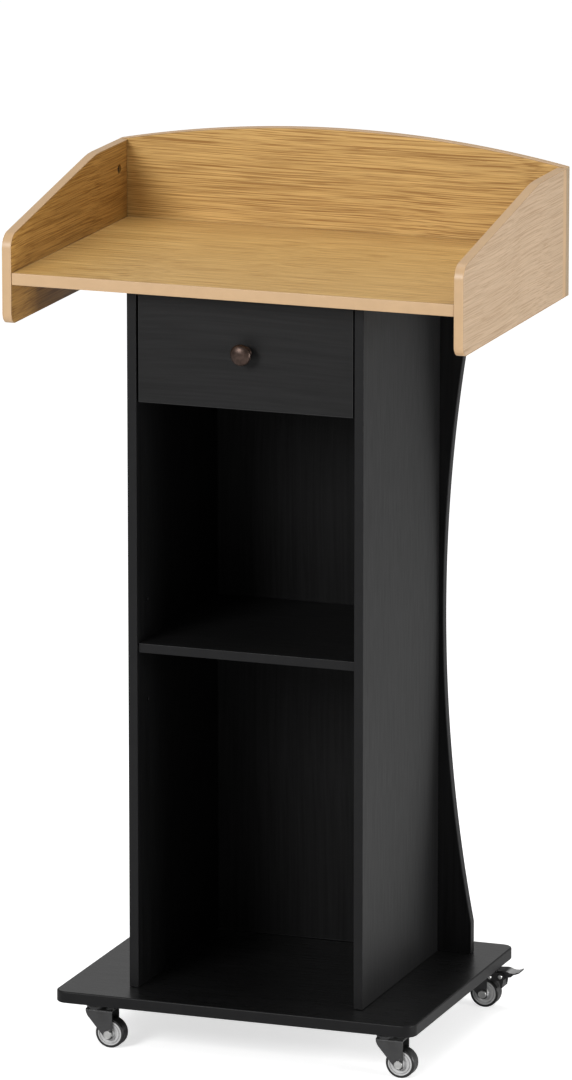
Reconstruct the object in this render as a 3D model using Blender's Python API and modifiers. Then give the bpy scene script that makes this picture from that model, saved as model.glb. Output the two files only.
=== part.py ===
"""A mobile presentation lectern.

An oak-faced desk with a wing at each end and an arched back board stands on a black cabinet. The
cabinet has one drawer on roller runners and one shelf on pins. Its rear panel is waisted. The base
board rides on four swivel casters, and the rear two have foot brakes.

Frame: metres, +Z up, with the origin on the floor under the middle of the whole lectern. X runs to
the speaker's right, and the speaker stands at -Y.
"""

import math

import bmesh
import bpy
from mathutils import Vector

# Stock and fits
GAP = 0.0003  # between two pieces that touch
BOARD = 0.015  # desktop and base board
PANEL = 0.012  # every other board
EDGE = 0.0008  # rounding of a board's edges
RUNNING = 0.0001  # radial clearance of a wheel, roller or pedal on its pin
ARC_STEP = math.radians(30)  # coarsest turn between two points of a small arc

# Desk, wings and back board
WIDTH = 0.600
DEPTH = 0.412
DESK_TOP = 0.9885
DESK_SETBACK = 0.0014  # from the front of the wings to the front of the desktop
WING_BOTTOM = 0.9235
WING_TOP = 1.0880
WING_SLOPE = 0.183  # rise of the wing's top edge for each metre it runs back
WING_SLOPE_END = 0.085  # where the slope meets the level part
WING_NOSE = 0.020  # radius of the wing's upper front corner
WING_TOE = 0.0145  # radius of its lower front corner
WING_BEND = 0.150  # radius of the bend in its top edge
ARCH_RISE = 0.030
ARCH_STEPS = 16

# Cabinet
CABINET_WIDTH = 0.310
CABINET_FRONT = -0.1555
CABINET_BACK = 0.1322
REAR_LAND = 0.200  # half-width of the rear panel at its foot and head
REAR_WAIST = 0.161  # half-width at its middle
LAND_HEIGHT = 0.041  # height of the straight land at foot and head
WAIST_STEPS = 16
SHELF_TOP = 0.5195
SHELF_RECESS = 0.004

# Base board on its casters
BASE_UNDERSIDE = 0.060
BASE_HALF_WIDTH = 0.2388
BASE_FRONT = -0.2043
BASE_BACK = 0.1925
BASE_CORNER = 0.016
BASE_EDGE = 0.0015

# Shelf pins and the rows of holes that they fit
PIN_HOLE = 0.0026
PIN_PITCH = 0.064
PIN_SETBACK = 0.037  # from the panel's front and rear edges
PIN_STUB = 0.003  # radius of the part under the shelf

# Cam locks that draw the wings to the back board
CAM_RADIUS = 0.006
CAM_DEPTH = 0.0095
CAM_FROM_BACK = 0.028
CAM_FROM_TOP = 0.034

# Drawer
DRAWER_REVEAL = 0.002  # gap round the drawer front
DRAWER_FRONT_HEIGHT = 0.145
DRAWER_BOX_HALF = 0.1303
DRAWER_BOX_DEPTH = 0.250
DRAWER_BOX_HEIGHT = 0.100
DRAWER_BOX_LIFT = 0.016  # from the bottom of the front to the bottom of the box
DRAWER_FLOOR = 0.003
FLOOR_LIFT = 0.010
GROOVE = 0.004
KNOB_HOLE = 0.0023

# Roller runners
RUNNER_SHEET = 0.0012
CABINET_RUNNER_LENGTH = 0.250
DRAWER_RUNNER_LENGTH = 0.246
ROLLER_RADIUS = 0.0085
ROLLER_HALF = 0.0031
ROLLER_BORE = 0.0026
RUNNER_OVERHANG = 0.012  # of a runner past the rivet of its roller
CABINET_ROLLER_Y = -0.125
DRAWER_ROLLER_Y = 0.093
CHANNEL_FLOOR = 0.845  # top of the cabinet channel's lower flange
CHANNEL_ROOM = 0.0194  # between the channel's flanges
CHANNEL_LIP = 0.1332  # from the middle of the lectern to the flanges' free edges
FLANGE_LIP = 0.1402  # from the middle of the lectern to the free edge over the cabinet's roller
DRAWER_FOOT = 0.009  # width of the runner's foot under the drawer side
RIVET_REACH = 0.0089  # from a runner's web to the end of its roller's rivet
ROLLER_FROM_WEB = 0.0047  # from a runner's web to the middle of its roller

# Casters
FRONT_SWIVEL_X = 0.193
FRONT_SWIVEL_Y = 0.0334  # in from the base board's front edge
REAR_SWIVEL_X = 0.1905
REAR_SWIVEL_Y = 0.0300  # in from its rear edge
TRAIL = 0.020  # from the swivel axis to the axle
WHEEL_RADIUS = 0.019
TYRE_INNER = 0.0159
WHEEL_HALF = 0.0088
FORK_TOP = 0.050
FORK_HALF = 0.013
FORK_SHEET = 0.002
FORK_HEAD = 0.013
FORK_HEAD_TOP = 0.0539
AXLE_RADIUS = 0.003
AXLE_LOBE = 0.0070
FORK_NOSE = (-0.0106, 0.0439)  # where the upright and the raked part of a fork's leading edge would meet
BRAKE_EAR = (0.0340, 0.0370)  # rear lower corner of the ear that a braked fork has for its bracket
KINGPIN_RADIUS = 0.0035
PLATE_HALF = 0.020
PLATE_SHEET = 0.0018
PLATE_HOLES = 0.015  # from the swivel axis to the screw holes, along X and Y
PLATE_HOLE = 0.0021

# Foot brake, measured from the swivel axis and the floor
BRAKE_PIVOT = (0.0435, 0.0440)
BRAKE_RIVET = (0.0292, 0.0423)
BRACKET_HALF = 0.0148
BRACKET_SHEET = 0.0015
PEDAL_HALF = 0.011
PEDAL_SHEET = 0.0016
PEDAL_PIN = 0.0019
PEDAL_TIP = 0.0676
PEDAL_TOE = 0.0026  # radius of the toe's corners, seen from above

WING_FRONT = -DEPTH / 2
WING_BACK = DEPTH / 2 - PANEL - GAP
BASE_TOP = BASE_UNDERSIDE + BOARD
DESK_UNDERSIDE = DESK_TOP - BOARD
CABINET_INNER = CABINET_WIDTH / 2 - PANEL
DRAWER_TOP = DESK_UNDERSIDE - DRAWER_REVEAL
DRAWER_FACE = CABINET_FRONT + DRAWER_REVEAL
DRAWER_BOTTOM = DRAWER_TOP - DRAWER_FRONT_HEIGHT
BOX_FRONT = DRAWER_FACE + PANEL + GAP
BOX_BOTTOM = DRAWER_BOTTOM + DRAWER_BOX_LIFT
KNOB_HEIGHT = (DRAWER_TOP + DRAWER_BOTTOM) / 2
ROLLER_HEIGHT = CHANNEL_FLOOR + ROLLER_RADIUS + GAP
PIN_ROW = SHELF_TOP - PANEL - GAP - PIN_STUB

ABOUT = {"X": (0.0, math.pi / 2, 0.0), "Y": (-math.pi / 2, 0.0, 0.0), "Z": (0.0, 0.0, 0.0)}
UPRIGHT_ACROSS = (math.pi / 2, 0.0, 0.0)  # an outline drawn in X and Z, thick along Y
UPRIGHT_ALONG = (math.pi / 2, 0.0, math.pi / 2)  # an outline drawn in Y and Z, thick along X
LEVEL = (0.0, 0.0, 0.0)


def clear_scene():
    """Removes every object of the startup scene."""
    for obj in list(bpy.data.objects):
        bpy.data.objects.remove(obj)


def new_collection(name):
    collection = bpy.data.collections.new(name)
    bpy.context.scene.collection.children.link(collection)
    return collection


def new_material(name, colour, roughness, metallic=0.0):
    material = bpy.data.materials.new(name)
    material.use_nodes = True
    shader = material.node_tree.nodes["Principled BSDF"]
    shader.inputs["Base Color"].default_value = (*colour, 1.0)
    shader.inputs["Roughness"].default_value = roughness
    shader.inputs["Metallic"].default_value = metallic
    material.diffuse_color = (*colour, 1.0)
    return material


clear_scene()
PARTS = new_collection("presentation_lectern")
CUTTERS = new_collection("cutters")
OAK = new_material("oak_laminate", (0.58, 0.39, 0.20), 0.45)
BLACK = new_material("black_laminate", (0.022, 0.022, 0.023), 0.5)
INNER = new_material("drawer_box_board", (0.05, 0.05, 0.052), 0.6)
BRONZE = new_material("bronze_knob", (0.10, 0.075, 0.065), 0.3, 0.9)
STEEL = new_material("zinc_steel", (0.62, 0.62, 0.62), 0.35, 1.0)
WHITE_STEEL = new_material("white_runner_steel", (0.75, 0.75, 0.73), 0.4)
NYLON = new_material("white_nylon", (0.80, 0.79, 0.75), 0.5)
FORK_PAINT = new_material("dark_fork_paint", (0.06, 0.06, 0.06), 0.4, 0.4)
PEDAL_STEEL = new_material("pedal_steel", (0.09, 0.09, 0.092), 0.35, 0.6)
HUB_GREY = new_material("grey_wheel_plastic", (0.55, 0.55, 0.55), 0.45)
TYRE_BLACK = new_material("black_tyre_rubber", (0.02, 0.02, 0.02), 0.8)


# Objects and placing


def new_object(name, mesh, material, location=(0, 0, 0), rotation=LEVEL, parent=None):
    obj = bpy.data.objects.new(name, mesh)
    PARTS.objects.link(obj)
    obj.location = location
    obj.rotation_euler = rotation
    obj.parent = parent
    if material:
        mesh.materials.append(material)
    return obj


def new_axis(name, location, parent=None):
    """An empty on a joint's axis, which carries the pieces that move about it."""
    empty = bpy.data.objects.new(name, None)
    PARTS.objects.link(empty)
    empty.location = location
    empty.empty_display_size = 0.02
    empty.parent = parent
    return empty


def mesh_from(bm, name):
    mesh = bpy.data.meshes.new(name)
    bm.to_mesh(mesh)
    bm.free()
    return mesh


def round_edges(obj, width):
    bevel = obj.modifiers.new("rounded_edges", "BEVEL")
    bevel.width = width
    bevel.segments = 1
    bevel.limit_method = "ANGLE"
    bevel.angle_limit = math.radians(40)
    return obj


def combine(obj, other, operation):
    """Cuts other from obj, joins it on or keeps what they share, and puts other with the cutters."""
    boolean = obj.modifiers.new(f"{operation.lower()}_{other.name}", "BOOLEAN")
    boolean.operation = operation
    boolean.object = other
    boolean.solver = "EXACT"
    for collection in list(other.users_collection):
        collection.objects.unlink(other)
    CUTTERS.objects.link(other)
    other.hide_render = True
    other.display_type = "WIRE"
    return obj


# Shapes


def box(name, low, high, material=None, edge=EDGE, parent=None):
    """A board or block between two opposite corners, its edges rounded unless edge is 0."""
    size = Vector(high) - Vector(low)
    bm = bmesh.new()
    bmesh.ops.create_cube(bm, size=1.0)
    bmesh.ops.scale(bm, vec=size, verts=bm.verts)
    centre = (Vector(high) + Vector(low)) / 2
    obj = new_object(name, mesh_from(bm, name), material, centre, LEVEL, parent)
    return round_edges(obj, edge) if edge else obj


def board(name, x, y, z, material, edge=EDGE, parent=None):
    """A box given by its (low, high) along each axis."""
    low, high = zip(x, y, z)
    return box(name, low, high, material, edge, parent)


def cylinder(name, radius, start, end, place, axis, material=None, sides=16, parent=None):
    """A plain cylinder that runs from start to end along the axis through place."""
    bm = bmesh.new()
    bmesh.ops.create_cone(
        bm, cap_ends=True, segments=sides, radius1=radius, radius2=radius, depth=end - start
    )
    bmesh.ops.translate(bm, vec=(0, 0, (start + end) / 2), verts=bm.verts)
    return new_object(name, mesh_from(bm, name), material, place, ABOUT[axis], parent)


def turned(name, profile, place, axis, material=None, steps=16, closed=False, parent=None):
    """Spins a profile of (radius, height) points, which run down its outer side, about the axis."""
    bm = bmesh.new()
    points = [bm.verts.new((radius, 0.0, height)) for radius, height in profile]
    for first, second in zip(points, points[1:]):
        bm.edges.new((first, second))
    if closed:
        bm.edges.new((points[-1], points[0]))
    obj = new_object(name, mesh_from(bm, name), material, place, ABOUT[axis], parent)
    screw = obj.modifiers.new("turned", "SCREW")
    screw.steps = steps
    screw.render_steps = steps
    screw.use_merge_vertices = True
    screw.merge_threshold = 0.00001
    screw.use_smooth_shade = True
    return obj


def arc(centre, radius, start, end):
    """Points along a circular arc, with the angles in radians."""
    steps = max(2, math.ceil(abs(end - start) / ARC_STEP))
    angles = [start + (end - start) * i / steps for i in range(steps + 1)]
    return [(centre[0] + radius * math.cos(a), centre[1] + radius * math.sin(a)) for a in angles]


def fillet(before, corner, after, radius):
    """Points of the arc that rounds a corner between its two straight sides."""
    back = (Vector(before) - Vector(corner)).normalized()
    ahead = (Vector(after) - Vector(corner)).normalized()
    half = back.angle(ahead) / 2
    centre = Vector(corner) + (back + ahead).normalized() * (radius / math.sin(half))
    first = Vector(corner) + back * (radius / math.tan(half)) - centre
    last = Vector(corner) + ahead * (radius / math.tan(half)) - centre
    start = math.atan2(first.y, first.x)
    turn = math.atan2(first.x * last.y - first.y * last.x, first.dot(last))
    return arc(centre, radius, start, start + turn)


def rounded(corners, closed=True):
    """An outline from (x, y, radius) corners. A radius of 0 leaves the corner sharp."""
    outline = []
    count = len(corners)
    for i, (x, y, radius) in enumerate(corners):
        inner = closed or 0 < i < count - 1
        if radius and inner:
            before = corners[i - 1][:2]
            after = corners[(i + 1) % count][:2]
            outline += fillet(before, (x, y), after, radius)
        else:
            outline.append((x, y))
    return outline


def rounded_rectangle(low, high, radius):
    corners = ((low[0], low[1]), (high[0], low[1]), (high[0], high[1]), (low[0], high[1]))
    return rounded([(x, y, radius) for x, y in corners])


def sheet(path, thickness):
    """The outline of bent sheet metal seen edge on: a path with half the thickness on each side."""
    upper = []
    lower = []
    for i, point in enumerate(path):
        ahead = Vector(path[min(i + 1, len(path) - 1)]) - Vector(path[max(i - 1, 0)])
        side = Vector((-ahead.y, ahead.x)).normalized() * thickness / 2
        upper.append(tuple(Vector(point) + side))
        lower.append(tuple(Vector(point) - side))
    return upper + lower[::-1]


def flat(name, outline, thickness, place, rotation, material=None, parent=None):
    """A flat piece: a filled outline extruded to its thickness about the plane through place."""
    curve = bpy.data.curves.new(name, "CURVE")
    curve.dimensions = "2D"
    curve.fill_mode = "BOTH"
    curve.extrude = thickness / 2
    spline = curve.splines.new("POLY")
    spline.points.add(len(outline) - 1)
    for point, (x, y) in zip(spline.points, outline):
        point.co = (x, y, 0.0, 1.0)
    spline.use_cyclic_u = True
    guide = bpy.data.objects.new(name + "_outline", curve)
    CUTTERS.objects.link(guide)
    graph = bpy.context.evaluated_depsgraph_get()
    mesh = bpy.data.meshes.new_from_object(guide.evaluated_get(graph))
    bpy.data.objects.remove(guide)
    bpy.data.curves.remove(curve)
    bm = bmesh.new()
    bm.from_mesh(mesh)
    bmesh.ops.remove_doubles(bm, verts=bm.verts, dist=0.000001)
    bmesh.ops.dissolve_limit(bm, angle_limit=math.radians(0.1), verts=bm.verts, edges=bm.edges)
    bmesh.ops.recalc_face_normals(bm, faces=bm.faces)
    bm.to_mesh(mesh)
    bm.free()
    return new_object(name, mesh, material, place, rotation, parent)


# Desk


def wing_outline():
    """The wing from its side, as (y, z): a sloping top edge that bends level towards the back."""
    nose_height = WING_TOP - WING_SLOPE * (WING_SLOPE_END - WING_FRONT)
    return rounded(
        [
            (WING_FRONT, WING_BOTTOM, WING_TOE),
            (WING_BACK, WING_BOTTOM, 0),
            (WING_BACK, WING_TOP, 0),
            (WING_SLOPE_END, WING_TOP, WING_BEND),
            (WING_FRONT, nose_height, WING_NOSE),
        ]
    )


def build_wing(name, side):
    """A wing, with the blind hole on its inner face that its cam lock sits in."""
    inner = WIDTH / 2 - PANEL
    centre = (side * (inner + PANEL / 2), 0, 0)
    wing = round_edges(flat(name, wing_outline(), PANEL, centre, UPRIGHT_ALONG, OAK), EDGE)
    lock = (0, WING_BACK - CAM_FROM_BACK, WING_TOP - CAM_FROM_TOP)
    ends = sorted((side * (inner - 0.002), side * (inner + CAM_DEPTH)))
    hole = cylinder(name + "_cam_hole", CAM_RADIUS + GAP / 2, *ends, lock, "X")
    combine(wing, hole, "DIFFERENCE")
    build_cam_lock(name + "_cam_lock", side, inner, lock)


def build_cam_lock(name, side, inner, lock):
    """A zinc cam with a cross recess in the face that shows."""
    face = inner + GAP
    ends = sorted((side * face, side * (inner + CAM_DEPTH - GAP)))
    cam = cylinder(name, CAM_RADIUS - GAP / 2, *ends, lock, "X", STEEL)
    for label, across, up in (("level", 0.0036, 0.0007), ("upright", 0.0007, 0.0036)):
        centre = Vector(lock) + Vector((side * face, 0, 0))
        half = Vector((0.002, across, up))
        slot = box(f"{name}_{label}_slot", centre - half, centre + half, None, 0)
        combine(cam, slot, "DIFFERENCE")


def build_back_board():
    """The upstand behind the wings, with a shallow arch along its top."""
    half = WIDTH / 2
    radius = (half**2 + ARCH_RISE**2) / (2 * ARCH_RISE)
    spread = math.asin(half / radius)
    foot = WING_TOP + ARCH_RISE - radius
    turns = [spread * (1 - 2 * i / ARCH_STEPS) for i in range(ARCH_STEPS + 1)]
    arch = [(radius * math.sin(a), foot + radius * math.cos(a)) for a in turns]
    outline = [(-half, WING_BOTTOM), (half, WING_BOTTOM)] + arch
    centre = (0, WING_BACK + GAP + PANEL / 2, 0)
    round_edges(flat("back_board", outline, PANEL, centre, UPRIGHT_ACROSS, OAK), EDGE)


def build_desk():
    half = WIDTH / 2 - PANEL - GAP
    y = (WING_FRONT + DESK_SETBACK, WING_BACK)
    board("desktop", (-half, half), y, (DESK_UNDERSIDE, DESK_TOP), OAK)
    build_wing("left_wing", -1)
    build_wing("right_wing", 1)
    build_back_board()


# Cabinet


def build_side_panel(name, side):
    """A side panel with two columns of shelf-pin holes on its inner face."""
    x = sorted((side * CABINET_INNER, side * (CABINET_INNER + PANEL)))
    z = (BASE_TOP + GAP, DESK_UNDERSIDE - GAP)
    panel = board(name, x, (CABINET_FRONT, CABINET_BACK), z, BLACK)
    ends = sorted((side * (CABINET_INNER - 0.002), side * (CABINET_INNER + 0.009)))
    for column, y in pin_columns().items():
        for row in (-1, 0, 1):
            place = (0, y, PIN_ROW + row * PIN_PITCH)
            hole = f"{name}_{column}_pin_hole_{row + 2}"
            combine(panel, cylinder(hole, PIN_HOLE, *ends, place, "X", sides=12), "DIFFERENCE")


def pin_columns():
    return {"front": CABINET_FRONT + PIN_SETBACK, "rear": CABINET_BACK - PIN_SETBACK}


def build_shelf_pin(name, side, y):
    """A steel pin: a plug in the side panel and a thicker stub that the shelf rests on."""
    plug = PIN_HOLE - RUNNING
    face = CABINET_INNER - GAP
    profile = [
        (0, face + 0.008),
        (plug - 0.0005, face + 0.008),
        (plug, face + 0.0075),
        (plug, face),
        (PIN_STUB, face),
        (PIN_STUB, face - 0.0075),
        (PIN_STUB - 0.001, face - 0.0085),
        (0, face - 0.0085),
    ]
    pin = turned(name, profile, (0, y, PIN_ROW), "X", STEEL, steps=12)
    if side < 0:
        pin.rotation_euler = (0, -math.pi / 2, 0)


def rear_panel_outline():
    """The rear panel as (x, z): a waist drawn by one arc on each edge, between two straight lands."""
    low = BASE_TOP + GAP
    high = DESK_UNDERSIDE - GAP
    middle = (low + high) / 2
    reach = (high - low) / 2 - LAND_HEIGHT
    depth = REAR_LAND - REAR_WAIST
    radius = (reach**2 + depth**2) / (2 * depth)
    spread = math.asin(reach / radius)
    turns = [spread * (2 * i / WAIST_STEPS - 1) for i in range(WAIST_STEPS + 1)]
    edge = [(REAR_WAIST + radius * (1 - math.cos(a)), middle + radius * math.sin(a)) for a in turns]
    right = [(REAR_LAND, low)] + edge + [(REAR_LAND, high)]
    return right + [(-x, z) for x, z in reversed(right)]


def build_rear_panel():
    centre = (0, CABINET_BACK + GAP + PANEL / 2, 0)
    panel = flat("rear_panel", rear_panel_outline(), PANEL, centre, UPRIGHT_ACROSS, BLACK)
    round_edges(panel, EDGE)


def build_shelf():
    half = CABINET_INNER - GAP
    y = (CABINET_FRONT + SHELF_RECESS, CABINET_BACK)
    board("shelf", (-half, half), y, (SHELF_TOP - PANEL, SHELF_TOP), BLACK)
    for column, place in pin_columns().items():
        build_shelf_pin(f"shelf_pin_{column}_left", -1, place)
        build_shelf_pin(f"shelf_pin_{column}_right", 1, place)


def build_base_board():
    low = (-BASE_HALF_WIDTH, BASE_FRONT)
    high = (BASE_HALF_WIDTH, BASE_BACK)
    outline = rounded_rectangle(low, high, BASE_CORNER)
    centre = (0, 0, BASE_UNDERSIDE + BOARD / 2)
    round_edges(flat("base_board", outline, BOARD, centre, LEVEL, BLACK), BASE_EDGE)


def build_cabinet():
    build_base_board()
    build_side_panel("left_side_panel", -1)
    build_side_panel("right_side_panel", 1)
    build_rear_panel()
    build_shelf()


# Drawer


def build_drawer_boards(slide):
    """The drawer's boards. The floor sits in a groove cut round their inner faces."""
    half = CABINET_INNER - DRAWER_REVEAL
    inner = DRAWER_BOX_HALF - PANEL
    rear = BOX_FRONT + DRAWER_BOX_DEPTH
    z = (BOX_BOTTOM, BOX_BOTTOM + DRAWER_BOX_HEIGHT)
    face = (DRAWER_FACE, DRAWER_FACE + PANEL)
    front = board("drawer_front", (-half, half), face, (DRAWER_BOTTOM, DRAWER_TOP), BLACK, EDGE, slide)
    left = board("drawer_left_side", (-inner - PANEL, -inner), (BOX_FRONT, rear), z, INNER, EDGE, slide)
    right = board("drawer_right_side", (inner, inner + PANEL), (BOX_FRONT, rear), z, INNER, EDGE, slide)
    across = (-inner + GAP, inner - GAP)
    back = board("drawer_back", across, (rear - PANEL, rear), z, INNER, EDGE, slide)
    floor_low = BOX_BOTTOM + FLOOR_LIFT
    x = (-inner - GROOVE + GAP, inner + GROOVE - GAP)
    y = (DRAWER_FACE + PANEL - GROOVE + GAP, rear - PANEL + GROOVE - GAP)
    board("drawer_bottom", x, y, (floor_low, floor_low + DRAWER_FLOOR), INNER, EDGE / 2, slide)
    low = (x[0] - GAP, y[0] - GAP, floor_low - GAP)
    high = (x[1] + GAP, y[1] + GAP, floor_low + DRAWER_FLOOR + GAP)
    groove = box("drawer_groove", low, high, None, 0, slide)
    for piece in (front, left, right, back):
        combine(piece, groove, "DIFFERENCE")
    return front


def knob_profile():
    """A rounded mushroom knob as (radius, distance from the drawer front), with a blind bore."""
    head = [(0.0135 * math.sin(a), 0.0165 + 0.0065 * math.cos(a)) for a in quarter_turns(5)]
    return (
        [(0, 0.0230)]
        + head
        + [(0.0128, 0.0145), (0.0100, 0.0120), (0.0062, 0.0095), (0.0052, 0.0065)]
        + [(0.0062, 0.0035), (0.0085, 0.0018), (0.0085, GAP), (KNOB_HOLE, GAP)]
        + [(KNOB_HOLE, 0.0110), (0, 0.0125)]
    )


def quarter_turns(steps):
    """Angles from just past 0 to a quarter turn."""
    return [math.pi / 2 * (i + 1) / steps for i in range(steps)]


def build_knob(front, slide):
    """The knob and the screw that holds it through the drawer front."""
    place = (0, DRAWER_FACE, KNOB_HEIGHT)
    knob = turned("drawer_knob", knob_profile(), place, "Y", BRONZE, parent=slide)
    knob.rotation_euler = (math.pi / 2, 0, 0)
    hole = cylinder("knob_screw_hole", KNOB_HOLE, -0.002, PANEL + 0.002, place, "Y", parent=slide)
    combine(front, hole, "DIFFERENCE")
    shank = KNOB_HOLE - GAP
    head = PANEL + GAP
    profile = [(0, head + 0.0026), (0.0030, head + 0.0026), (0.0040, head + 0.0016), (0.0040, head)]
    profile += [(shank, head), (shank, -0.0090), (shank - 0.0008, -0.0098), (0, -0.0098)]
    turned("knob_screw", profile, place, "Y", STEEL, steps=12, parent=slide)


def channel_outline(side):
    """The cabinet runner's C section as (x, z), open towards the drawer."""
    outer = CABINET_INNER - GAP
    lip = CHANNEL_LIP
    floor = CHANNEL_FLOOR
    roof = floor + CHANNEL_ROOM
    thick = RUNNER_SHEET
    right = [(outer, floor - thick), (outer, roof + thick), (lip, roof + thick), (lip, roof)]
    right += [(outer - thick, roof), (outer - thick, floor), (lip, floor), (lip, floor - thick)]
    return [(side * x, z) for x, z in right]


def drawer_runner_outline(side):
    """The drawer runner's Z section: a foot under the drawer side, and a flange over the roller."""
    face = DRAWER_BOX_HALF + GAP
    toe = face - DRAWER_FOOT
    lip = FLANGE_LIP
    foot = BOX_BOTTOM - GAP
    roof = ROLLER_HEIGHT + ROLLER_RADIUS + GAP
    thick = RUNNER_SHEET
    right = [(face, foot), (face, roof + thick), (lip, roof + thick), (lip, roof)]
    right += [(face + thick, roof), (face + thick, foot - thick), (toe, foot - thick), (toe, foot)]
    return [(side * x, z) for x, z in right]


def roller_stub(name, side, web, away, y, parent=None):
    """The rivet that carries a roller. It stands on a runner's web and points away from it."""
    reach = RIVET_REACH
    shank = ROLLER_BORE - RUNNING
    profile = [(0, reach), (shank + 0.0011, reach), (shank + 0.0011, reach - 0.0008)]
    profile += [(shank, reach - 0.0008), (shank, -0.0004), (0, -0.0004)]
    stub = turned(name, profile, (side * web, y, ROLLER_HEIGHT), "X", steps=12, parent=parent)
    stub.rotation_euler = (0, side * away * math.pi / 2, 0)
    return stub


def build_roller(name, side, centre, y, parent):
    """A nylon roller, free to turn on its rivet."""
    axis = new_axis(name + "_axis", (side * centre, y, ROLLER_HEIGHT), parent)
    rim = ROLLER_RADIUS
    half = ROLLER_HALF
    profile = [(ROLLER_BORE, half), (rim - 0.0010, half), (rim, half - 0.0010)]
    profile += [(rim, 0.0010 - half), (rim - 0.0010, -half), (ROLLER_BORE, -half)]
    turned(name, profile, (0, 0, 0), "X", NYLON, closed=True, parent=axis)


def build_runners(side, word, slide):
    """One side's pair of runners, with a roller at the front of one and the back of the other."""
    length = CABINET_RUNNER_LENGTH
    middle = (0, CABINET_ROLLER_Y - RUNNER_OVERHANG + length / 2, 0)
    name = "cabinet_runner_" + word
    fixed = flat(name, channel_outline(side), length, middle, UPRIGHT_ACROSS, WHITE_STEEL)
    web = CABINET_INNER - GAP - RUNNER_SHEET
    combine(fixed, roller_stub(name + "_rivet", side, web, -1, CABINET_ROLLER_Y), "UNION")
    build_roller("cabinet_roller_" + word, side, web - ROLLER_FROM_WEB, CABINET_ROLLER_Y, None)
    length = DRAWER_RUNNER_LENGTH
    middle = (0, DRAWER_ROLLER_Y + RUNNER_OVERHANG - length / 2, 0)
    name = "drawer_runner_" + word
    outline = drawer_runner_outline(side)
    moving = flat(name, outline, length, middle, UPRIGHT_ACROSS, WHITE_STEEL, slide)
    web = DRAWER_BOX_HALF + GAP + RUNNER_SHEET
    combine(moving, roller_stub(name + "_rivet", side, web, 1, DRAWER_ROLLER_Y, slide), "UNION")
    build_roller("drawer_roller_" + word, side, web + ROLLER_FROM_WEB, DRAWER_ROLLER_Y, slide)


def build_drawer():
    slide = new_axis("drawer_slide_axis", (0, 0, 0))
    front = build_drawer_boards(slide)
    build_knob(front, slide)
    build_runners(-1, "left", slide)
    build_runners(1, "right", slide)


# Casters. Each is drawn about its own swivel axis, with the floor at Z 0 and the wheel trailing to +X.


def channel_section(half, top, sheet_thickness, bend, depth):
    """An upside-down U as (y, z): two legs and a web, with rounded bends."""
    inner = half - sheet_thickness
    corners = [(-half, top - depth, 0), (-inner, top - depth, 0)]
    corners += [(-inner, top - sheet_thickness, bend / 2), (inner, top - sheet_thickness, bend / 2)]
    corners += [(inner, top - depth, 0), (half, top - depth, 0)]
    corners += [(half, top, bend), (-half, top, bend)]
    return rounded(corners)


def channel_from(name, section, side_view, half, material, swivel):
    """Bent sheet metal: a long channel trimmed to its outline as seen from the side."""
    middle = (0.020, 0, 0)
    piece = flat(name, section, 0.100, middle, UPRIGHT_ALONG, material, swivel)
    trim = flat(name + "_side_view", side_view, 3 * half, (0, 0, 0), UPRIGHT_ACROSS, None, swivel)
    return combine(piece, trim, "INTERSECT")


def fork_side_view(braked):
    """The fork as (x, z): a raked leading edge, a lobe round the axle and an upright rear edge."""
    above = FORK_TOP + 0.001
    lobe = arc((TRAIL, WHEEL_RADIUS), AXLE_LOBE, math.radians(221), math.radians(315))
    leading = rounded([(FORK_NOSE[0], above, 0), (*FORK_NOSE, 0.0165), (*lobe[0], 0)], False)
    rear = lobe[-1][0]
    if not braked:
        return leading + lobe[1:] + [(rear, above)]
    ear_x, ear_z = BRAKE_EAR
    ear = [(rear, WHEEL_RADIUS, 0), (rear, ear_z, 0.002), (ear_x, ear_z, 0.003), (ear_x, above, 0)]
    return leading + lobe[1:] + rounded(ear, False)[1:]


def build_fork(name, braked, swivel):
    """The fork: a trimmed channel with a round head that turns on the kingpin."""
    section = channel_section(FORK_HALF, FORK_TOP, FORK_SHEET, 0.003, 0.042)
    fork = channel_from(name, section, fork_side_view(braked), FORK_HALF, FORK_PAINT, swivel)
    across = FORK_HALF + 0.004
    axle = (TRAIL, 0, WHEEL_RADIUS)
    hole = cylinder(name + "_axle_bore", AXLE_RADIUS + RUNNING, -across, across, axle, "Y", parent=swivel)
    combine(fork, hole, "DIFFERENCE")
    if braked:
        place = (BRAKE_RIVET[0], 0, BRAKE_RIVET[1])
        hole = cylinder(name + "_rivet_bore", 0.0018, -across, across, place, "Y", sides=12, parent=swivel)
        combine(fork, hole, "DIFFERENCE")
    low = FORK_TOP - FORK_SHEET / 2
    bead = FORK_HEAD_TOP - 0.0012
    profile = [(0, FORK_HEAD_TOP), (FORK_HEAD - 0.0012, FORK_HEAD_TOP), (FORK_HEAD, bead)]
    profile += [(FORK_HEAD - 0.0006, low), (0, low)]
    head = turned(name + "_head", profile, (0, 0, 0), "Z", parent=swivel)
    combine(fork, head, "UNION")
    bore = KINGPIN_RADIUS + 1.5 * RUNNING
    hole = cylinder(name + "_kingpin_bore", bore, 0.040, 0.060, (0, 0, 0), "Z", parent=swivel)
    combine(fork, hole, "DIFFERENCE")


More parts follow.
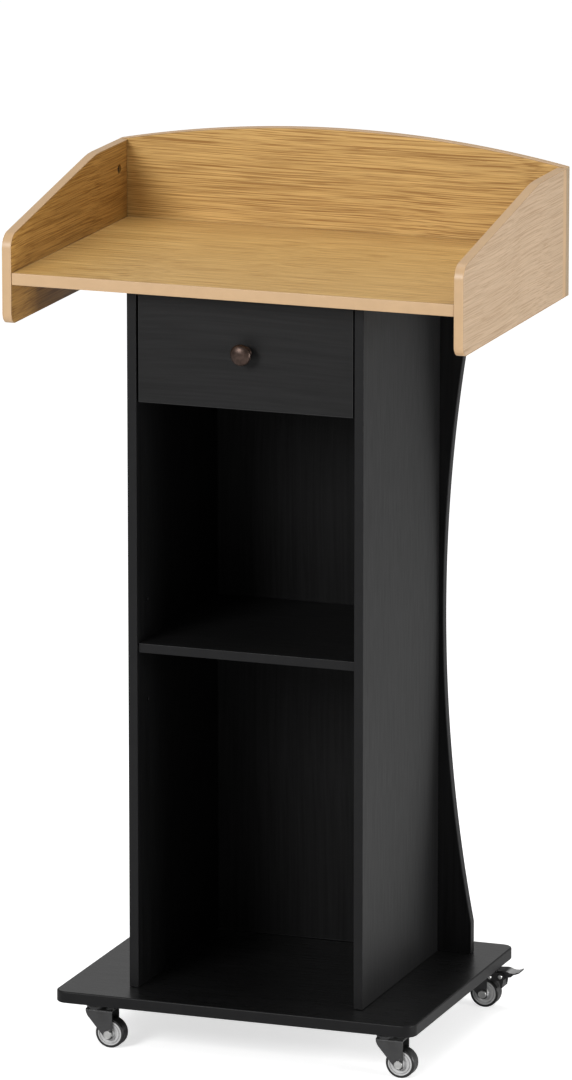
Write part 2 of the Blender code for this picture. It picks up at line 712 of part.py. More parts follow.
def build_top_plate(name, swivel):
    """The plate under the base board, with four screw holes and the upper half of the swivel race."""
    top = BASE_UNDERSIDE - GAP
    low = (-PLATE_HALF, -PLATE_HALF)
    outline = rounded_rectangle(low, (PLATE_HALF, PLATE_HALF), 0.004)
    plate = flat(name, outline, PLATE_SHEET, (0, 0, top - PLATE_SHEET / 2), LEVEL, STEEL, swivel)
    rim = FORK_HEAD_TOP + 0.0005
    under = top - PLATE_SHEET / 2
    race = [(0.0112, under), (0.0150, under), (0.0138, rim), (0.0122, rim)]
    cup = turned(name + "_race", race, (0, 0, 0), "Z", closed=True, parent=swivel)
    combine(plate, cup, "UNION")
    bore = KINGPIN_RADIUS + RUNNING
    hole = cylinder(name + "_bore", bore, 0.050, 0.065, (0, 0, 0), "Z", parent=swivel)
    combine(plate, hole, "DIFFERENCE")
    for i, (x, y) in enumerate(((-1, -1), (1, -1), (1, 1), (-1, 1))):
        place = (x * PLATE_HOLES, y * PLATE_HOLES, 0)
        label = f"{name}_screw_hole_{i + 1}"
        hole = cylinder(label, PLATE_HOLE, 0.050, 0.065, place, "Z", sides=8, parent=swivel)
        combine(plate, hole, "DIFFERENCE")


def build_kingpin(name, swivel):
    """The rivet that joins the fork to its plate: a collar in the race and a head inside the fork."""
    top = BASE_UNDERSIDE - 2 * GAP
    collar = top - PLATE_SHEET - GAP
    head = FORK_TOP - FORK_SHEET - GAP
    shank = KINGPIN_RADIUS
    profile = [(0, top), (shank, top), (shank, collar), (0.0060, collar), (0.0060, collar - 0.0018)]
    profile += [(shank, collar - 0.0018), (shank, head), (0.0062, head), (0.0062, head - 0.0012)]
    profile += [(0.0045, head - 0.0022), (0, head - 0.0022)]
    turned(name, profile, (0, 0, 0), "Z", STEEL, steps=12, parent=swivel)


def build_axle(name, swivel):
    """The axle bolt, with a tall flat head on the speaker's side and a riveted end at the other."""
    out = FORK_HALF + GAP
    shank = AXLE_RADIUS
    profile = [(0, out + 0.0038), (0.0046, out + 0.0038), (0.0053, out + 0.0031), (0.0053, out)]
    profile += [(shank, out), (shank, -out), (0.0055, -out), (0.0055, -out - 0.0012)]
    profile += [(0.0044, -out - 0.0022), (0.0020, -out - 0.0028), (0, -out - 0.0029)]
    turned(name, profile, (TRAIL, 0, WHEEL_RADIUS), "Y", STEEL, steps=12, parent=swivel)


def wheel_profile():
    """Half of the hub's section, from its bore out to its rim, as (radius, distance from the middle)."""
    return [
        (AXLE_RADIUS + RUNNING, 0.0106),
        (0.0055, 0.0106),
        (0.0063, 0.0068),
        (0.0099, 0.0068),
        (0.0107, WHEEL_HALF),
        (TYRE_INNER - GAP, WHEEL_HALF - 0.0003),
    ]


def build_wheel(corner, axle):
    """The grey hub and its black tyre, which turn together on the axle."""
    half = wheel_profile()
    profile = half + [(radius, -along) for radius, along in reversed(half)]
    turned(corner + "_wheel_hub", profile, (0, 0, 0), "Y", HUB_GREY, closed=True, parent=axle)
    rim = WHEEL_RADIUS
    shoulder = WHEEL_HALF
    tread = [(TYRE_INNER, shoulder), (rim - 0.0012, shoulder), (rim, shoulder - 0.0018)]
    tread += [(rim, 0.0018 - shoulder), (rim - 0.0012, -shoulder), (TYRE_INNER, -shoulder)]
    turned(corner + "_tyre", tread, (0, 0, 0), "Y", TYRE_BLACK, steps=24, closed=True, parent=axle)


def build_bracket(name, swivel):
    """The brake bracket: a channel that straddles the fork's rear edge, with its rivets."""
    top = FORK_TOP + GAP + BRACKET_SHEET
    pivot_x, pivot_z = BRAKE_PIVOT
    rivet_x, rivet_z = BRAKE_RIVET
    side_view = rounded(
        [
            (rivet_x - 0.0055, top + 0.001, 0),
            (rivet_x - 0.0055, rivet_z - 0.0050, 0.0040),
            (pivot_x + 0.0050, pivot_z - 0.0048, 0.0048),
            (pivot_x + 0.0050, pivot_z + 0.0050, 0.0048),
            (pivot_x - 0.0075, pivot_z + 0.0052, 0.0010),
            (pivot_x - 0.0100, top + 0.001, 0),
        ]
    )
    section = channel_section(BRACKET_HALF, top, BRACKET_SHEET, 0.002, 0.020)
    bracket = channel_from(name, section, side_view, BRACKET_HALF, FORK_PAINT, swivel)
    place = (rivet_x, 0, rivet_z)
    outer = BRACKET_HALF
    inner = FORK_HALF - FORK_SHEET - GAP
    for word, side in (("front", 1), ("rear", -1)):
        profile = [(0, outer + 0.0012), (0.0018, outer + 0.0010), (0.0026, outer - 0.0004)]
        profile += [(0.0016, outer - 0.0008), (0.0016, inner), (0.0026, inner - 0.0007)]
        profile += [(0, inner - 0.0007)]
        rivet = turned(f"{name}_{word}_rivet", profile, place, "Y", steps=8, parent=swivel)
        rivet.rotation_euler = (side * math.pi / 2, 0, 0)
        combine(bracket, rivet, "UNION")
    pivot = (pivot_x, 0, pivot_z)
    reach = BRACKET_HALF + 0.003
    hole = cylinder(name + "_pin_bore", PEDAL_PIN + RUNNING, -reach, reach, pivot, "Y", parent=swivel)
    combine(bracket, hole, "DIFFERENCE")


def build_pedal_pin(name, swivel):
    """The pin that the pedal rocks on, with a head outside each side of the bracket."""
    out = BRACKET_HALF + GAP
    head = [(0, out + 0.0012), (0.0020, out + 0.0010), (0.0029, out + 0.0003), (0.0029, out)]
    foot = [(radius, -along) for radius, along in reversed(head)]
    profile = head + [(PEDAL_PIN, out), (PEDAL_PIN, -out)] + foot
    place = (BRAKE_PIVOT[0], 0, BRAKE_PIVOT[1])
    turned(name, profile, place, "Y", STEEL, steps=12, parent=swivel)


def pedal_path():
    """The pedal plate as (x, z) from above the pivot: it dips, then curls up at the toe."""
    corners = [(0.0375, 0.0498, 0), (0.0480, 0.0507, 0.012), (0.0560, 0.0480, 0.008)]
    corners += [(0.0614, 0.0480, 0.006), (0.0674, 0.0503, 0)]
    return rounded(corners, False)


def build_pedal(name, pivot):
    """The brake pedal, drawn from the swivel axis: a plate, two cheeks and the shoe between them."""
    path = pedal_path()
    cheek = rounded(
        [
            (0.0380, 0.0498, 0),
            (0.0380, 0.0405, 0.0040),
            (0.0419, 0.0345, 0.0010),
            (0.0429, 0.0278, 0.0006),
            (0.0447, 0.0278, 0.0006),
            (0.0466, 0.0388, 0.0030),
            (0.0511, 0.0428, 0.0030),
            (0.0565, 0.0436, 0.0040),
            (0.0615, 0.0482, 0),
        ]
    )
    cheek += [(x, z) for x, z in reversed(path) if 0.0385 < x < 0.0610]
    offset = (-BRAKE_PIVOT[0], 0, -BRAKE_PIVOT[1])
    middle = PEDAL_HALF - PEDAL_SHEET / 2
    near = (offset[0], -middle, offset[2])
    far = (offset[0], middle, offset[2])
    plate = 2 * PEDAL_HALF - 0.0004
    pedal = flat(name, sheet(path, PEDAL_SHEET), plate, offset, UPRIGHT_ACROSS, PEDAL_STEEL, pivot)
    for word, place in (("near", near), ("far", far)):
        side = flat(f"{name}_{word}_cheek", cheek, PEDAL_SHEET, place, UPRIGHT_ACROSS, None, pivot)
        combine(pedal, side, "UNION")
    low = (0.0431 + offset[0], -PEDAL_HALF + 0.0003, 0.0280 + offset[2])
    high = (0.0445 + offset[0], PEDAL_HALF - 0.0003, 0.0400 + offset[2])
    combine(pedal, box(name + "_shoe", low, high, None, 0, pivot), "UNION")
    wide = PEDAL_HALF + 0.0002
    toe = [(0.030, -wide, 0), (PEDAL_TIP, -wide, PEDAL_TOE), (PEDAL_TIP, wide, PEDAL_TOE), (0.030, wide, 0)]
    above = (offset[0], 0, offset[2] + 0.040)
    trim = flat(name + "_toe_view", rounded(toe), 0.040, above, LEVEL, None, pivot)
    combine(pedal, trim, "INTERSECT")
    reach = PEDAL_HALF + 0.003
    hole = cylinder(name + "_pin_bore", PEDAL_PIN + RUNNING, -reach, reach, (0, 0, 0), "Y", parent=pivot)
    combine(pedal, hole, "DIFFERENCE")


def build_caster(corner, x, y, braked):
    swivel = new_axis(corner + "_swivel_axis", (x, y, 0))
    axle = new_axis(corner + "_axle_axis", (TRAIL, 0, WHEEL_RADIUS), swivel)
    build_top_plate(corner + "_caster_plate", swivel)
    build_kingpin(corner + "_kingpin", swivel)
    build_fork(corner + "_fork", braked, swivel)
    build_axle(corner + "_axle", swivel)
    build_wheel(corner, axle)
    if braked:
        pivot = new_axis(corner + "_pedal_axis", (BRAKE_PIVOT[0], 0, BRAKE_PIVOT[1]), swivel)
        build_bracket(corner + "_brake_bracket", swivel)
        build_pedal_pin(corner + "_pedal_pin", swivel)
        build_pedal(corner + "_brake_pedal", pivot)


def build_casters():
    front = BASE_FRONT + FRONT_SWIVEL_Y
    rear = BASE_BACK - REAR_SWIVEL_Y
    build_caster("front_left", -FRONT_SWIVEL_X, front, False)
    build_caster("front_right", FRONT_SWIVEL_X, front, False)
    build_caster("rear_left", -REAR_SWIVEL_X, rear, True)
    build_caster("rear_right", REAR_SWIVEL_X, rear, True)


build_desk()
build_cabinet()
build_drawer()
build_casters()
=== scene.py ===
import math

import bmesh
import bpy
from mathutils import Matrix, Vector


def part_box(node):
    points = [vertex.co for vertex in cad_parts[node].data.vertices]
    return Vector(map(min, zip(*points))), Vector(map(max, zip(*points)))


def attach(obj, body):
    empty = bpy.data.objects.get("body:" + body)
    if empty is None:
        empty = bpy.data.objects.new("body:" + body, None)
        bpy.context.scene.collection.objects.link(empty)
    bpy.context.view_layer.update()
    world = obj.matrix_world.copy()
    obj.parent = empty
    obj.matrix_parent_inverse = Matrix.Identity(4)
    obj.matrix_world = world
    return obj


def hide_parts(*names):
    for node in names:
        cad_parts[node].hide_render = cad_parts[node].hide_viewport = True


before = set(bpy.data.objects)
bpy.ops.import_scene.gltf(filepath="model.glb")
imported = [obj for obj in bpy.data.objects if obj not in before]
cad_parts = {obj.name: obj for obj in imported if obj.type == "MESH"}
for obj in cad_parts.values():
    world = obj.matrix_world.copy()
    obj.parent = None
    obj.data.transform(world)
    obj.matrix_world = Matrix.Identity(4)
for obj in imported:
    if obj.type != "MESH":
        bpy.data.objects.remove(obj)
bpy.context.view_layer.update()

# The lectern's own design sizes, in metres. Where each piece sits, and its overall size, comes from the
# frame's boxes. Sizes used by one piece only are written in the function that draws it.
ARC_STEP = math.radians(7)  # coarsest turn between two points of an arc
SEAM = 0.00045  # the glue line between a board's face and its edge band
GAP = 0.0003  # clearance between two pieces
EDGE = 0.0008  # rounding of a board's edges
WING_SLOPE = 0.183  # fall of a wing's top edge, per metre towards the speaker
WING_SLOPE_END = 0.085  # where that fall starts
WING_NOSE = 0.020  # radius of a wing's upper front corner
WING_TOE = 0.0145  # radius of its lower front corner
WING_BEND = 0.150  # radius where its top edge starts to fall
WRAP = 0.0125  # width of the edge band that laps on to a wing's outer face at its rear
REAR_WAIST = 0.161  # half-width of the rear panel at its middle
LAND_HEIGHT = 0.041  # straight length at the rear panel's foot and head
PIN_PITCH = 0.064  # height between two rows of shelf-pin holes
BASE_CORNER = 0.016
BASE_EDGE = 0.0015

# A caster's own sizes. Each (x, z) is measured from its swivel axis and the floor.
TRAIL = 0.020  # from the swivel axis to the axle
WHEEL_RADIUS = 0.019
AXLE_PLACE = (TRAIL, 0, WHEEL_RADIUS)
AXLE_LOBE = 0.0070  # radius of the fork round the axle
FORK_TOP = 0.050
FORK_NOSE = (-0.0106, 0.0439)
BRAKE_EAR = (0.0340, 0.0370)
PLATE_THICKNESS = 0.0018
PLATE_HOLE = 0.015  # from a plate's middle to its screw holes, both ways
BRAKE_PIVOT = (0.0435, 0.0440)
BRAKE_RIVET = (0.0292, 0.0423)
BRACKET_HALF = 0.0148
PEDAL_TIP = 0.0676
PEDAL_TOE = 0.0026  # radius of the toe's corners, seen from above
CORNERS = ("front_left", "front_right", "rear_left", "rear_right")
WORDS = {"left": -1, "right": 1}


# Shader nodes


def new_material(name):
    material = bpy.data.materials.new(name)
    material.use_nodes = True
    return material, material.node_tree


def add(tree, kind, settings=None, **sockets):
    """Adds a shader node. A socket takes a number, a colour or another node's output."""
    made = tree.nodes.new("ShaderNode" + kind)
    for key, value in (settings or {}).items():
        setattr(made, key, value)
    for key, value in sockets.items():
        socket = made.inputs[int(key[1:]) if key[1:].isdigit() else key.replace("_", " ")]
        if isinstance(value, bpy.types.NodeSocket):
            tree.links.new(value, socket)
        else:
            socket.default_value = value
    return made.outputs[0]


def shader_inputs(tree, **sockets):
    """Sets or links the inputs of the material's Principled shader."""
    shader = tree.nodes["Principled BSDF"]
    for key, value in sockets.items():
        socket = shader.inputs[key.replace("_", " ")]
        if isinstance(value, bpy.types.NodeSocket):
            tree.links.new(value, socket)
        else:
            socket.default_value = value


def arithmetic(tree, operation, first, second=0.0):
    return add(tree, "Math", {"operation": operation}, i0=first, i1=second)


def ramp(tree, value, *stops):
    """A colour ramp from (place, grey or colour) stops."""
    made = tree.nodes.new("ShaderNodeValToRGB")
    tree.links.new(value, made.inputs[0])
    elements = made.color_ramp.elements
    while len(elements) < len(stops):
        elements.new(0.5)
    for element, (place, colour) in zip(elements, stops):
        element.position = place
        grey = isinstance(colour, (int, float))
        element.color = (colour, colour, colour, 1) if grey else (*colour, 1)
    return made.outputs[0]


def mix(tree, share, first, second, blend="MIX"):
    made = tree.nodes.new("ShaderNodeMix")
    made.data_type = "RGBA"
    made.blend_type = blend
    for socket, value in zip((made.inputs[0], made.inputs[6], made.inputs[7]), (share, first, second)):
        if isinstance(value, bpy.types.NodeSocket):
            tree.links.new(value, socket)
        else:
            socket.default_value = value if isinstance(value, float) else (*value, 1)
    return made.outputs[2]


def noise(tree, vector, scale, detail=2.0, roughness=0.5):
    return add(tree, "TexNoise", Vector=vector, Scale=scale, Detail=detail, Roughness=roughness)


def along_grain(tree, axis):
    """Object coordinates turned so that the grain runs along X, wandering a little across it."""
    place = add(tree, "TexCoord").node.outputs["Object"]
    split = add(tree, "SeparateXYZ", Vector=place).node
    order = {"X": (0, 1, 2), "Y": (1, 0, 2), "Z": (2, 0, 1)}[axis]
    u, v, w = (split.outputs[i] for i in order)
    slow = add(tree, "CombineXYZ", X=arithmetic(tree, "MULTIPLY", u, 1.6), Y=v, Z=w)
    drift = arithmetic(tree, "SUBTRACT", noise(tree, slow, 3.0, 0.0), 0.5)
    drift = arithmetic(tree, "MULTIPLY", drift, 0.014)
    v = arithmetic(tree, "ADD", v, drift)
    w = arithmetic(tree, "ADD", w, drift)
    return add(tree, "CombineXYZ", X=u, Y=v, Z=w)


def stretched(tree, grain, along, across, detail=2.0, roughness=0.5):
    """Noise drawn out along the grain: so many features a metre along it and across it."""
    scaled = add(tree, "VectorMath", {"operation": "MULTIPLY"}, i0=grain, i1=(along, across, across))
    return noise(tree, scaled, 1.0, detail, roughness)


def bump(tree, height, strength, distance):
    return add(tree, "Bump", Height=height, Strength=strength, Distance=distance)


# Materials


def contour(tree, value, width):
    """Thin soft lines where a noise passes through its middle value."""
    away = arithmetic(tree, "ABSOLUTE", arithmetic(tree, "SUBTRACT", value, 0.5))
    return ramp(tree, away, (0.0, 1.0), (width, 0.0))


def oak_face(name, axis, light, dark, contrast):
    """Oak laminate: soft bands, long thin growth lines, brown streaks, fine fibres and short open pores."""
    material, tree = new_material(name)
    grain = along_grain(tree, axis)
    bands = stretched(tree, grain, 1.6, 150, 2.0)
    growth = contour(tree, stretched(tree, grain, 2.4, 160, 1.0, 0.5), 0.030)
    streaks = stretched(tree, grain, 8.0, 760, 2.0, 0.6)
    fibres = stretched(tree, grain, 16, 1300, 2.0, 0.6)
    pores = stretched(tree, grain, 50, 1500, 1.0)
    tone = mix(tree, ramp(tree, bands, (0.20, 0.0), (0.80, 1.0)), light, dark)
    deep = tuple(c * f for c, f in zip(dark, (0.62, 0.52, 0.36)))
    tone = mix(tree, arithmetic(tree, "MULTIPLY", growth, 0.55 * contrast), tone, deep)
    tone = mix(tree, ramp(tree, streaks, (0.50, 0.0), (0.64, contrast)), tone, deep)
    glow = tuple(min(1.0, c * 1.22) for c in light)
    tone = mix(tree, ramp(tree, streaks, (0.32, 0.7 * contrast), (0.48, 0.0)), tone, glow)
    tone = mix(tree, 0.35, tone, ramp(tree, fibres, (0.3, 0.70), (0.7, 1.0)), "MULTIPLY")
    pits = ramp(tree, pores, (0.30, 1.0), (0.37, 0.0))
    tone = mix(tree, arithmetic(tree, "MULTIPLY", pits, 0.3), tone, deep)
    rough = ramp(tree, fibres, (0.2, 0.34), (0.8, 0.46))
    height = arithmetic(tree, "SUBTRACT", fibres, pits)
    shader_inputs(
        tree, Base_Color=tone, Roughness=rough, Normal=bump(tree, height, 0.2, 0.0002), Specular_IOR_Level=0.4
    )
    return material


def oak_band(name, colour):
    """Moulded edge band: nearly plain, with a faint lengthwise print and a soft sheen."""
    material, tree = new_material(name)
    place = add(tree, "TexCoord").node.outputs["Object"]
    cloud = noise(tree, place, 45.0, 3.0, 0.6)
    darker = tuple(c * 0.95 for c in colour)
    tone = mix(tree, ramp(tree, cloud, (0.35, 0.0), (0.65, 1.0)), colour, darker)
    grit = noise(tree, place, 2600.0, 2.0)
    shader_inputs(
        tree,
        Base_Color=tone,
        Roughness=ramp(tree, grit, (0.3, 0.34), (0.7, 0.44)),
        Normal=bump(tree, grit, 0.12, 0.0001),
    )
    return material


def black_face(name, axis, base, sheen, rough=(0.40, 0.56)):
    """Black laminate pressed with a fine wood grain."""
    material, tree = new_material(name)
    grain = along_grain(tree, axis)
    streaks = stretched(tree, grain, 5, 240, 3.0, 0.6)
    fibres = stretched(tree, grain, 18, 1100, 2.0, 0.6)
    low = tuple(c * 0.62 for c in base)
    high = tuple(c * 1.5 for c in base)
    tone = mix(tree, ramp(tree, streaks, (0.3, 0.0), (0.7, 1.0)), low, high)
    tone = mix(tree, 0.5, tone, ramp(tree, fibres, (0.3, 0.6), (0.7, 1.0)), "MULTIPLY")
    height = mix(tree, 0.4, fibres, streaks)
    shader_inputs(
        tree,
        Base_Color=tone,
        Roughness=ramp(tree, fibres, (0.25, rough[0]), (0.75, rough[1])),
        Specular_IOR_Level=sheen,
        Normal=bump(tree, height, 0.35, 0.00025),
    )
    return material


def plain(name, colour, roughness, metallic=0.0, grit=900.0, spread=0.12, relief=0.1, **more):
    """A finish with fine grit in its roughness and relief, and slight cloudiness in its colour."""
    material, tree = new_material(name)
    place = add(tree, "TexCoord").node.outputs["Object"]
    cloud = noise(tree, place, 60.0, 3.0, 0.55)
    fine = noise(tree, place, grit, 2.0)
    dim = tuple(c * (1 - spread) for c in colour)
    tone = mix(tree, ramp(tree, cloud, (0.35, 0.0), (0.65, 1.0)), colour, dim)
    shader_inputs(
        tree,
        Base_Color=tone,
        Metallic=metallic,
        Roughness=ramp(tree, fine, (0.3, roughness * 0.85), (0.7, roughness * 1.15)),
        Normal=bump(tree, fine, relief, 0.0001),
        **more,
    )
    return material


def turned_metal(name, colour, roughness):
    """Plated metal, slightly clouded, with a fine grit in its relief."""
    material, tree = new_material(name)
    place = add(tree, "TexCoord").node.outputs["Object"]
    fine = noise(tree, place, 1800.0, 2.0)
    cloud = noise(tree, place, 130.0, 3.0)
    dim = tuple(c * 0.8 for c in colour)
    tone = mix(tree, ramp(tree, cloud, (0.3, 0.0), (0.7, 1.0)), colour, dim)
    shader_inputs(
        tree,
        Base_Color=tone,
        Metallic=1.0,
        Roughness=ramp(tree, cloud, (0.3, roughness * 0.8), (0.7, roughness * 1.3)),
        Normal=bump(tree, fine, 0.15, 0.0001),
    )
    return material


def antique_bronze():
    """Dark bronze rubbed lighter in patches."""
    material, tree = new_material("antique_bronze")
    place = add(tree, "TexCoord").node.outputs["Object"]
    cloud = noise(tree, place, 110.0, 4.0, 0.6)
    fine = noise(tree, place, 1500.0, 2.0)
    rubbed = ramp(tree, cloud, (0.38, 0.0), (0.66, 1.0))
    tone = mix(tree, rubbed, (0.034, 0.021, 0.016), (0.074, 0.047, 0.037))
    shader_inputs(
        tree,
        Base_Color=tone,
        Metallic=0.75,
        Roughness=ramp(tree, cloud, (0.3, 0.30), (0.7, 0.42)),
        Normal=bump(tree, fine, 0.12, 0.0001),
    )
    return material


def toe_lit_steel(name, colour, lit_colour, start, end):
    """Dark plating on steel with a painted highlight: its upward faces turn bright from start to end along
    the piece's own X axis, where the toe catches the light; the dark elsewhere is partly painted shade under
    the base board.
    """
    material, tree = new_material(name)
    place = add(tree, "TexCoord").node.outputs["Object"]
    split = add(tree, "SeparateXYZ", Vector=place).node
    facing = add(tree, "SeparateXYZ", Vector=add(tree, "TexCoord").node.outputs["Normal"]).node
    cloud = noise(tree, place, 260.0, 3.0, 0.6)
    fine = noise(tree, place, 1400.0, 2.0)
    ragged = arithmetic(tree, "ADD", split.outputs[0], arithmetic(tree, "MULTIPLY", cloud, 0.003))
    reach = arithmetic(tree, "DIVIDE", arithmetic(tree, "SUBTRACT", ragged, start), end - start)
    up = ramp(tree, facing.outputs[2], (0.55, 0.0), (0.80, 1.0))
    toe_highlight = arithmetic(tree, "MULTIPLY", ramp(tree, reach, (0.0, 0.0), (1.0, 1.0)), up)
    shader_inputs(
        tree,
        Base_Color=mix(tree, toe_highlight, colour, lit_colour),
        Metallic=0.5,
        Roughness=ramp(tree, cloud, (0.3, 0.34), (0.7, 0.48)),
        Normal=bump(tree, fine, 0.12, 0.0001),
    )
    return material


OAK_LIGHT, OAK_DARK = (0.650, 0.415, 0.145), (0.545, 0.325, 0.098)
WING_LIGHT, WING_DARK = (0.450, 0.250, 0.066), (0.360, 0.188, 0.044)
PALE_LIGHT, PALE_DARK = (0.560, 0.405, 0.265), (0.490, 0.345, 0.220)
OAK_ACROSS = oak_face("oak_across", "X", OAK_LIGHT, OAK_DARK, 1.0)
OAK_ALONG = oak_face("oak_along", "Y", WING_LIGHT, WING_DARK, 1.0)
OAK_PALE = oak_face("oak_pale", "Y", PALE_LIGHT, PALE_DARK, 0.5)
OAK_BAND = oak_band("oak_edge_band", (0.535, 0.350, 0.190))
OAK_END = oak_band("oak_end_band", (0.360, 0.262, 0.160))
# the glue line's colour, also used as a painted shadow line along each wing's rear edge
OAK_SEAM_AND_SHADE = plain("oak_glue_line_and_gap_shade", (0.22, 0.14, 0.08), 0.6)
BLACK = (0.0060, 0.0060, 0.0062)
# Painted light: black_upright and black_outside are one laminate in two copies. The duller one, on the rear
# panel and the side panels' inner faces, is painted shade that keeps the inside dark; the shinier one, on the
# side panels' outer faces, is a painted sheen.
BLACK_UPRIGHT = black_face("black_upright", "Z", BLACK, 0.10)
BLACK_OUTSIDE = black_face("black_outside", "Z", BLACK, 0.30)
BLACK_ACROSS = black_face("black_across", "X", BLACK, 0.21)
BLACK_BASE = black_face("black_base", "X", BLACK, 0.60, (0.24, 0.36))
BLACK_BAND = plain("black_edge_band", (0.0055, 0.0055, 0.006), 0.42, spread=0.2, Specular_IOR_Level=0.20)
BLACK_SEAM = plain("black_glue_line", (0.004, 0.004, 0.004), 0.6)
DRAWER_BOARD = plain("drawer_box_board", (0.035, 0.035, 0.037), 0.6, spread=0.3)
BRONZE = antique_bronze()
ZINC = turned_metal("zinc_plate", (0.62, 0.62, 0.61), 0.32)
# painted shade: the cam's zinc is coloured dark for the shade of the hole it sits in
CAM_METAL_PAINTED_SHADE = turned_metal("cam_zinc_painted_shade", (0.12, 0.11, 0.10), 0.45)
RUNNER_PAINT = plain("white_runner_paint", (0.70, 0.70, 0.68), 0.38, relief=0.2)
NYLON = plain("white_nylon", (0.78, 0.77, 0.73), 0.5)
FORK_PAINT = plain("dark_fork_paint", (0.055, 0.055, 0.056), 0.38, 0.5, spread=0.25)
BRACKET_PAINT = plain("dark_bracket_paint", (0.026, 0.026, 0.027), 0.40, 0.5, spread=0.25)
# painted light: the toe's top is coloured bright where it catches the light, and the rest is kept dark partly
# as shade under the base board
PEDAL_STEEL = toe_lit_steel("pedal_steel", (0.030, 0.030, 0.031), (0.55, 0.55, 0.55), 0.0510, 0.0545)
HUB_PLASTIC = plain("grey_wheel_plastic", (0.56, 0.56, 0.56), 0.28, spread=0.06)
RUBBER = plain("black_tyre_rubber", (0.009, 0.009, 0.009), 0.36, grit=1500.0, spread=0.3, relief=0.3)


# Outlines


def arc(centre, radius, start, end):
    steps = max(2, math.ceil(abs(end - start) / ARC_STEP))
    angles = [start + (end - start) * i / steps for i in range(steps + 1)]
    return [(centre[0] + radius * math.cos(a), centre[1] + radius * math.sin(a)) for a in angles]


def fillet(before, corner, after, radius):
    """Points of the arc that rounds a corner between its two straight sides."""
    back = (Vector(before) - Vector(corner)).normalized()
    ahead = (Vector(after) - Vector(corner)).normalized()
    half = back.angle(ahead) / 2
    centre = Vector(corner) + (back + ahead).normalized() * (radius / math.sin(half))
    first = Vector(corner) + back * (radius / math.tan(half)) - centre
    last = Vector(corner) + ahead * (radius / math.tan(half)) - centre
    start = math.atan2(first.y, first.x)
    turn = math.atan2(first.x * last.y - first.y * last.x, first.dot(last))
    return arc(centre, radius, start, start + turn)


def rounded(corners, closed=True):
    """An outline from (x, y, radius) corners. A radius of 0 leaves the corner sharp."""
    outline = []
    count = len(corners)
    for i, (x, y, radius) in enumerate(corners):
        inner = closed or 0 < i < count - 1
        if radius and inner:
            before = corners[i - 1][:2]
            after = corners[(i + 1) % count][:2]
            outline += fillet(before, (x, y), after, radius)
        else:
            outline.append((x, y))
    return outline


def rectangle(low, high, radius=0.0):
    corners = ((low[0], low[1]), (high[0], low[1]), (high[0], high[1]), (low[0], high[1]))
    return rounded([(x, y, radius) for x, y in corners])


def mirrored(half_profile):
    """A (radius, height, fillet) profile carried on through its mirror image below height 0."""
    return half_profile + [(r, -h, f) for r, h, f in reversed(half_profile)]


def sheet(path, thickness):
    """The outline of bent sheet metal seen edge on: a path with half the thickness on each side."""
    upper = []
    lower = []
    for i, point in enumerate(path):
        ahead = Vector(path[min(i + 1, len(path) - 1)]) - Vector(path[max(i - 1, 0)])
        side = Vector((-ahead.y, ahead.x)).normalized() * thickness / 2
        upper.append(tuple(Vector(point) + side))
        lower.append(tuple(Vector(point) - side))
    return upper + lower[::-1]


# Mesh work

PLANES = {
    "XY": lambda a, b, t: (a, b, t),
    "YZ": lambda a, b, t: (t, a, b),
    "XZ": lambda a, b, t: (a, t, b),
}
TURNS = {
    "Z": Matrix.Identity(4),
    "-Z": Matrix.Rotation(math.pi, 4, "X"),
    "Y": Matrix.Rotation(-math.pi / 2, 4, "X"),
    "-Y": Matrix.Rotation(math.pi / 2, 4, "X"),
    "X": Matrix.Rotation(math.pi / 2, 4, "Y"),
    "-X": Matrix.Rotation(-math.pi / 2, 4, "Y"),
}
SHARP = math.radians(38)


def new_piece(name, bm, materials, place=(0, 0, 0), turn="Z"):
    """Links a new object whose mesh is smooth apart from its sharp edges."""
    mesh = bpy.data.meshes.new(name)
    bmesh.ops.recalc_face_normals(bm, faces=bm.faces)
    bm.to_mesh(mesh)
    bm.free()
    for material in materials:
        mesh.materials.append(material)
    mesh.shade_smooth()
    mesh.set_sharp_from_angle(angle=SHARP)
    obj = bpy.data.objects.new(name, mesh)
    obj.matrix_world = Matrix.Translation(place) @ TURNS[turn]
    bpy.context.scene.collection.objects.link(obj)
    return obj


def prism(outline, plane, low, high):
    """An outline given a thickness: faces 0 are its two caps and faces 1 its sides."""
    bm = bmesh.new()
    rims = [[bm.verts.new(PLANES[plane](a, b, t)) for a, b in outline] for t in (low, high)]
    for rim in rims:
        bm.faces.new(rim)
    count = len(outline)
    for i in range(count):
        j = (i + 1) % count
        side = bm.faces.new((rims[0][i], rims[0][j], rims[1][j], rims[1][i]))
        side.material_index = 1
    bmesh.ops.recalc_face_normals(bm, faces=bm.faces)
    return bm


def slab(name, outline, plane, low, high, materials, edge=EDGE, place=(0, 0, 0)):
    """A board with rounded edges. Its materials are the faces', the edge band's and the glue line's."""
    bm = prism(outline, plane, low, high)
    sharp = [e for e in bm.edges if e.calc_face_angle() > SHARP]
    bmesh.ops.bevel(
        bm, geom=sharp, offset=edge, segments=3, profile=0.5, affect="EDGES", clamp_overlap=True, material=1
    )
    caps = [f for f in bm.faces if f.material_index == 0]
    ring = bmesh.ops.inset_individual(bm, faces=caps, thickness=SEAM, use_even_offset=True)["faces"]
    for face in ring:
        face.material_index = 2
    return new_piece(name, bm, materials, place)


